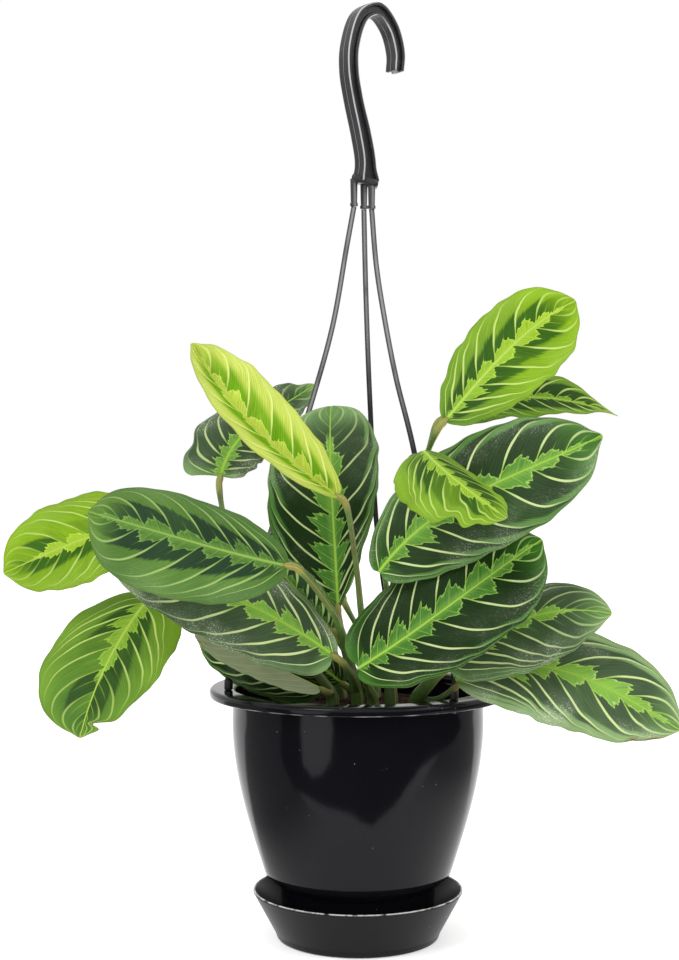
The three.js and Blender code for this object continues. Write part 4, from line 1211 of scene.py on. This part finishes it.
def capped(rings):
    """A closed body from rings of points, with a flat many-cornered face at each end."""
    rows, columns = rings.shape[:2]
    points = rings.reshape(-1, 3)
    first = np.arange(columns)[None]
    faces = [lattice(rows, columns, ring=True), first[:, ::-1], first + (rows - 1) * columns]
    return points, facing_out(points, faces), {}


def hook_outline():
    """The I-shaped section as columns: side, distance in from that side, depth, and how much painted
    highlight it has. Its corners are small curves, and a mould seam stands up in the middle of each broad
    face. The two sides are set APART from the middle only while the corners are softened."""
    deep, edge, web = FLANGE_DEPTH, FLANGE_EDGE, FLANGE_DEPTH - RECESS
    quarter = [(1, SEAM, 0), (1, 0, 0.4), (1, 0, 0.9), (1, 0, deep - CHAMFER), (1, 0, deep),
               (1, -CHAMFER, deep), (1, -edge, deep), (1, -edge, web)]
    upper = quarter + [(-s, -a, b) for s, a, b in quarter[::-1]]
    corners = np.array(upper + [(s, a, -b) for s, a, b in upper[-2:0:-1]], float)
    spread = corners[:, 1] + corners[:, 0] * APART
    soft = softened(np.column_stack([spread, corners[:, 2]]), 0.5, closed=True)
    side = np.sign(soft[:, 0])
    inset, depth = soft[:, 0] - side * APART, soft[:, 1]
    # Painted highlights: pale lines along the outer corners and along the seam.
    at_corner = np.hypot(inset, np.abs(depth) - deep) < 0.55
    at_seam = (np.abs(depth) < 0.15) * (np.abs(inset) < 0.5)
    return side, inset, depth, HIGHLIGHT_AT_CORNER * at_corner + HIGHLIGHT_AT_SEAM * at_seam


def hook_body():
    """The section carried along the hook's line, square to it, and flared like a bell at its lower end."""
    slope = np.tan(HOOK_TURN)
    knots = [(x, (x - HOOK_AXIS) * slope, z, half) for (x, z), half in zip(HOOK_LINE, HOOK_HALF)]
    line, length = through(knots, 140)
    print("the hook's line is", round(float(length), 1), "mm long")
    tangent = unit(np.gradient(line[:, :3], axis=0))
    depthwise = np.array([-np.sin(HOOK_TURN), np.cos(HOOK_TURN), 0])
    sideways = np.cross(depthwise, tangent)
    side, inset, depth, wear_and_highlight = hook_outline()
    flare = np.exp(-((length * np.linspace(1, 0, len(line)) / FLARE_LENGTH) ** 2))[:, None]
    apart = inset[None] + side[None] * (line[:, 3:] + FLARE_WIDTH * flare)
    depth = depth[None] * (1 + FLARE_DEPTH * flare)
    rings = line[:, None, :3] + apart[..., None] * sideways[:, None] + depth[..., None] * depthwise
    points, groups, _ = capped(rings)
    sheen = np.clip((points[:, 2] - DULL_BELOW) / DULL_OVER, 0.5, 1)
    return points, groups, {"wear_and_highlight": np.tile(wear_and_highlight, len(line)), "sheen": sheen}


hook_parts = [hook_body()]

# %% [markdown]
# Each rod is a tube from its neck under the hook to the rim, where a peg with a barbed end holds it.
# The rods are shaded by the leaves lower down, so their sheen is full at the top and fades out there.

# %% The rods and their pegs
RODS = {
    "strand_left": [(-2.2, 1, 406), (-6.2, 1, 384), (-14, 1, 340), (-25.5, 0, 298), (-47.5, -7, 228)],
    "strand_right": [(7.6, -3, 404), (10.2, -5.9, 372), (15, -11.6, 340), (20.6, -18, 310),
                     (29.9, -29.4, 270)],
    "strand_back": [(3.4, 4, 405), (4, 8, 380), (4.8, 15, 355), (7.2, 31, 300), (12, 51, 221)],
}
RIM_HOLES = {"strand_left": (-71, -16.4), "strand_right": (49.8, -53.4), "strand_back": (21.3, 69.8)}
SHADED_BELOW = {"strand_left": 150, "strand_right": 265, "strand_back": 290}
ROD_RADIUS = 1.5
RIM_TOP = 139
ROD_UPRIGHT = (13.3, 2.3)
PEG = [(0, 131.7), (1, 131.7), (2.9, 135.7), (2.9, 136.7), (1.7, 136.7), (1.7, 139.3), (2.4, 139.3),
       (2.4, 144.3), (1.3, 146.3), (0, 146.3)]


def moved(body, x, y):
    """The same body, moved sideways."""
    points, groups, values = body
    return points + np.array([x, y, 0]), groups, values


def plain(body):
    """The same body with the two measures of the plastic: no painted highlight, and with its full sheen."""
    points, groups, _ = body
    return points, groups, {"wear_and_highlight": np.zeros(len(points)), "sheen": np.ones(len(points))}


def rod(name):
    """A rod through its points and then upright down to the rim, with a peg below it, and one painted
    highlight line along it."""
    x, y = RIM_HOLES[name]
    knots = [*RODS[name], *((x, y, RIM_TOP + above) for above in ROD_UPRIGHT)]
    line, _ = through([(*knot, ROD_RADIUS) for knot in knots], 120)
    points, groups, values = tube(line[:, :3], line[:, 3], 16)
    sheen = np.clip((points[:, 2] - SHADED_BELOW[name]) / 50, 0.1, 1)
    # A painted highlight: a pale line along one side of the rod, fading where its sheen fades.
    wear_and_highlight = 0.6 * sheen * np.exp(-(((values["round"] - 0.3) / 0.4) ** 2))
    peg = plain(moved(turned(softened(PEG, 0.3), 24), x, y))
    return joined([(points, groups, {"wear_and_highlight": wear_and_highlight, "sheen": sheen}), peg])


def hanger_grey_black():
    """Grey-black moulded plastic with fine scratches along it, pale where painted highlights lie."""
    made = Finish("hanger_grey_black", roughness=0.28)
    place = made.place()
    stretched = made.node("Mapping", {"Vector": place, "Scale": (1, 1, 0.15)}).outputs[0]
    scratch = made.noise(stretched, 900, detail=3)
    colour = made.blend(made.noise(place, 60), tone("1e1e20"), tone("2c2c2e"))
    colour = made.blend(made.times(made.between(scratch, 0.62, 0.8), 0.3), colour, tone("7e7e82"))
    # Painted highlights: pale where the points hold them, broken in places.
    broken = made.between(made.noise(stretched, 120, detail=3), 0.2, 0.5)
    colour = made.blend(made.times(made.value("wear_and_highlight"), broken), colour, tone("b2b2b4"))
    made.bump(scratch, 0.0003, 0.25)
    made.feed(made.shader.inputs["Specular IOR Level"], made.times(made.value("sheen"), 0.4))
    return made.done(colour)


HANGER_FINISH = hanger_grey_black()
for name in RODS:
    settle(skin(name + "_rod", *rod(name)), name, "hanger_grey", HANGER_FINISH)
print("rods made:", len(RODS))

# %% [markdown]
# Between the hook and the rods sits a slanted collar with three short necks, one for each rod. They are
# moulded in one with the hook, so they are joined to it. The collar is a slab whose outline is repeated
# from back to front, a little smaller at both ends, and each neck is turned.

# %% The collar and its necks
COLLAR_LEFT, COLLAR_RIGHT = np.array([-3.4, 0, 422]), np.array([11.2, 0, 418])
COLLAR_THICK, COLLAR_DEPTH = 3.6, 5.8


def collar():
    """The slanted collar under the hook: a rounded slab, a little smaller at its front and back."""
    half = np.linalg.norm(COLLAR_RIGHT - COLLAR_LEFT) / 2
    across, up = np.array([-1, 1, 1, -1]) * half, np.array([-1, -1, 1, 1]) * COLLAR_THICK / 2
    flat = softened(np.column_stack([across, up]), 1.6, closed=True)
    way = unit(COLLAR_RIGHT - COLLAR_LEFT)
    above = np.cross([0, 1, 0], way)
    levels = np.array([-1, -0.93, 0, 0.93, 1]) * COLLAR_DEPTH
    size = np.array([0.8, 1, 1, 1, 0.8])[:, None, None]
    rings = flat[None, :, :1] * size * way + flat[None, :, 1:] * size * above
    return capped((COLLAR_LEFT + COLLAR_RIGHT) / 2 + rings + levels[:, None, None] * np.array([0, 1, 0]))


def neck(x, y, z):
    """A short neck above a rod, with a ring at its lower end and a painted highlight line down its front.
    """
    top = np.interp(x, [COLLAR_LEFT[0], COLLAR_RIGHT[0]], [COLLAR_LEFT[2], COLLAR_RIGHT[2]])
    corners = [(0, z + 0.3), (2.2, z + 0.3), (2.2, z + 2), (1.8, z + 2.3), (2.1, top), (0, top)]
    points, groups, values = plain(moved(turned(softened(corners, 0.3), 24), x, y))
    # A painted highlight: a light line down the neck's front.
    values["wear_and_highlight"] = 0.4 * np.exp(-(((points[:, 0] - x - 0.6) / 0.7) ** 2))
    return points, groups, values


hook_parts += [plain(collar()), *(neck(*knots[0]) for knots in RODS.values())]
settle(skin("hanger_hook_body", *joined(hook_parts)), "hanger_hook", "hanger_grey", HANGER_FINISH)
print("bodies in the hook:", len(hook_parts))

# %% [markdown]
# The soil is a low mound of red-brown potting mix. Its top is a turned surface whose height is shaken
# by several sizes of lumps, and loose crumbs lie on it. A Displace modifier could shake it too, but the
# crumbs must know how high the mound is, and with a formula they do. All draws come from one numbered
# seed, so that the soil is the same each time.

# %% The soil
SOIL_RADIUS, SOIL_EDGE, SOIL_MOUND = 67.5, 125, 8
SOIL_PLUG = [(0, 100), (66.5, 100), (SOIL_RADIUS, 124.6)]
SHAKEN_ABOVE, SUNK = 124.7, 1.2
LUMPS = [(12, 26, 0.9), (14, 9, 0.6), (16, 4, 0.45)]
CRUMBS = 700
rng = np.random.default_rng(7)


def lumps(x, y, count, size, height):
    """The sum of `count` plane waves of random direction, about `size` long: a rolling, uneven surface."""
    angle = rng.uniform(0, 2 * np.pi, (count, 1))
    pitch = 2 * np.pi / (size * rng.uniform(0.7, 1.4, (count, 1)))
    start = rng.uniform(0, 2 * np.pi, (count, 1))
    waves = np.sin(pitch * (x * np.cos(angle) + y * np.sin(angle)) + start)
    return height * waves.sum(0) / np.sqrt(count)


def ground():
    """A parabola turned into a mound over a plug that fills the pot, shaken inside its edge. It is sunk
    by as much as a lump may rise, so that no lump stands above the parabola."""
    share = np.linspace(1, 0, 90)[1:-1]
    top = np.stack([SOIL_RADIUS * share, SOIL_EDGE + SOIL_MOUND * (1 - share**2)], -1)
    profile = np.vstack([SOIL_PLUG, top, [(0, SOIL_EDGE + SOIL_MOUND)]])
    points, groups, values = turned(profile, 240)
    shaken = points[:, 2] > SHAKEN_ABOVE
    x, y = points[shaken, 0], points[shaken, 1]
    relief = sum(lumps(x, y, *kind) for kind in LUMPS)
    calm = np.clip((SOIL_RADIUS - np.hypot(x, y)) / 4, 0, 1)
    points[shaken, 2] += np.clip(relief, -3, SUNK) * calm - SUNK * calm
    return points, groups, values


def crumbs(count):
    """Loose crumbs: small lumpy balls of 7 sides, strewn evenly over the mound by the root of a draw."""
    angle = rng.uniform(0, 2 * np.pi, count)
    away = SOIL_RADIUS * 0.96 * np.sqrt(rng.uniform(0, 1, count))
    size = rng.uniform(0.5, 1.7, count)
    height = SOIL_EDGE + SOIL_MOUND * (1 - (away / SOIL_RADIUS) ** 2) - 1.4
    places = np.stack([away * np.cos(angle), away * np.sin(angle), height], -1)
    ball, faces, _ = turned([(0, -1), (0.75, -0.66), (1, 0), (0.75, 0.66), (0, 1)], 7)
    bodies = []
    for k in range(count):
        shape = ball * (1 + rng.uniform(-0.3, 0.3, ball.shape)) * size[k] * rng.uniform(0.6, 1.2, 3)
        bodies.append((shape + places[k], faces, {}))
    return bodies


def soil_red_brown():
    """Dark red-brown with paler grains, deeply rough."""
    made = Finish("soil_red_brown", roughness=0.95, gloss=0.15)
    place = made.place()
    grain = made.noise(place, 500, detail=5, roughness=0.7)
    colour = made.blend(made.noise(place, 90, detail=3), tone("160d0a"), tone("3a221a"))
    colour = made.blend(made.between(grain, 0.55, 0.8), colour, tone("66422e"))
    made.bump(grain, 0.0012, 0.9)
    return made.done(colour)


soil = joined([ground(), *crumbs(CRUMBS)])
settle(skin("soil_mound", *soil), "soil", "soil", soil_red_brown())
print("soil points:", len(soil[0]))
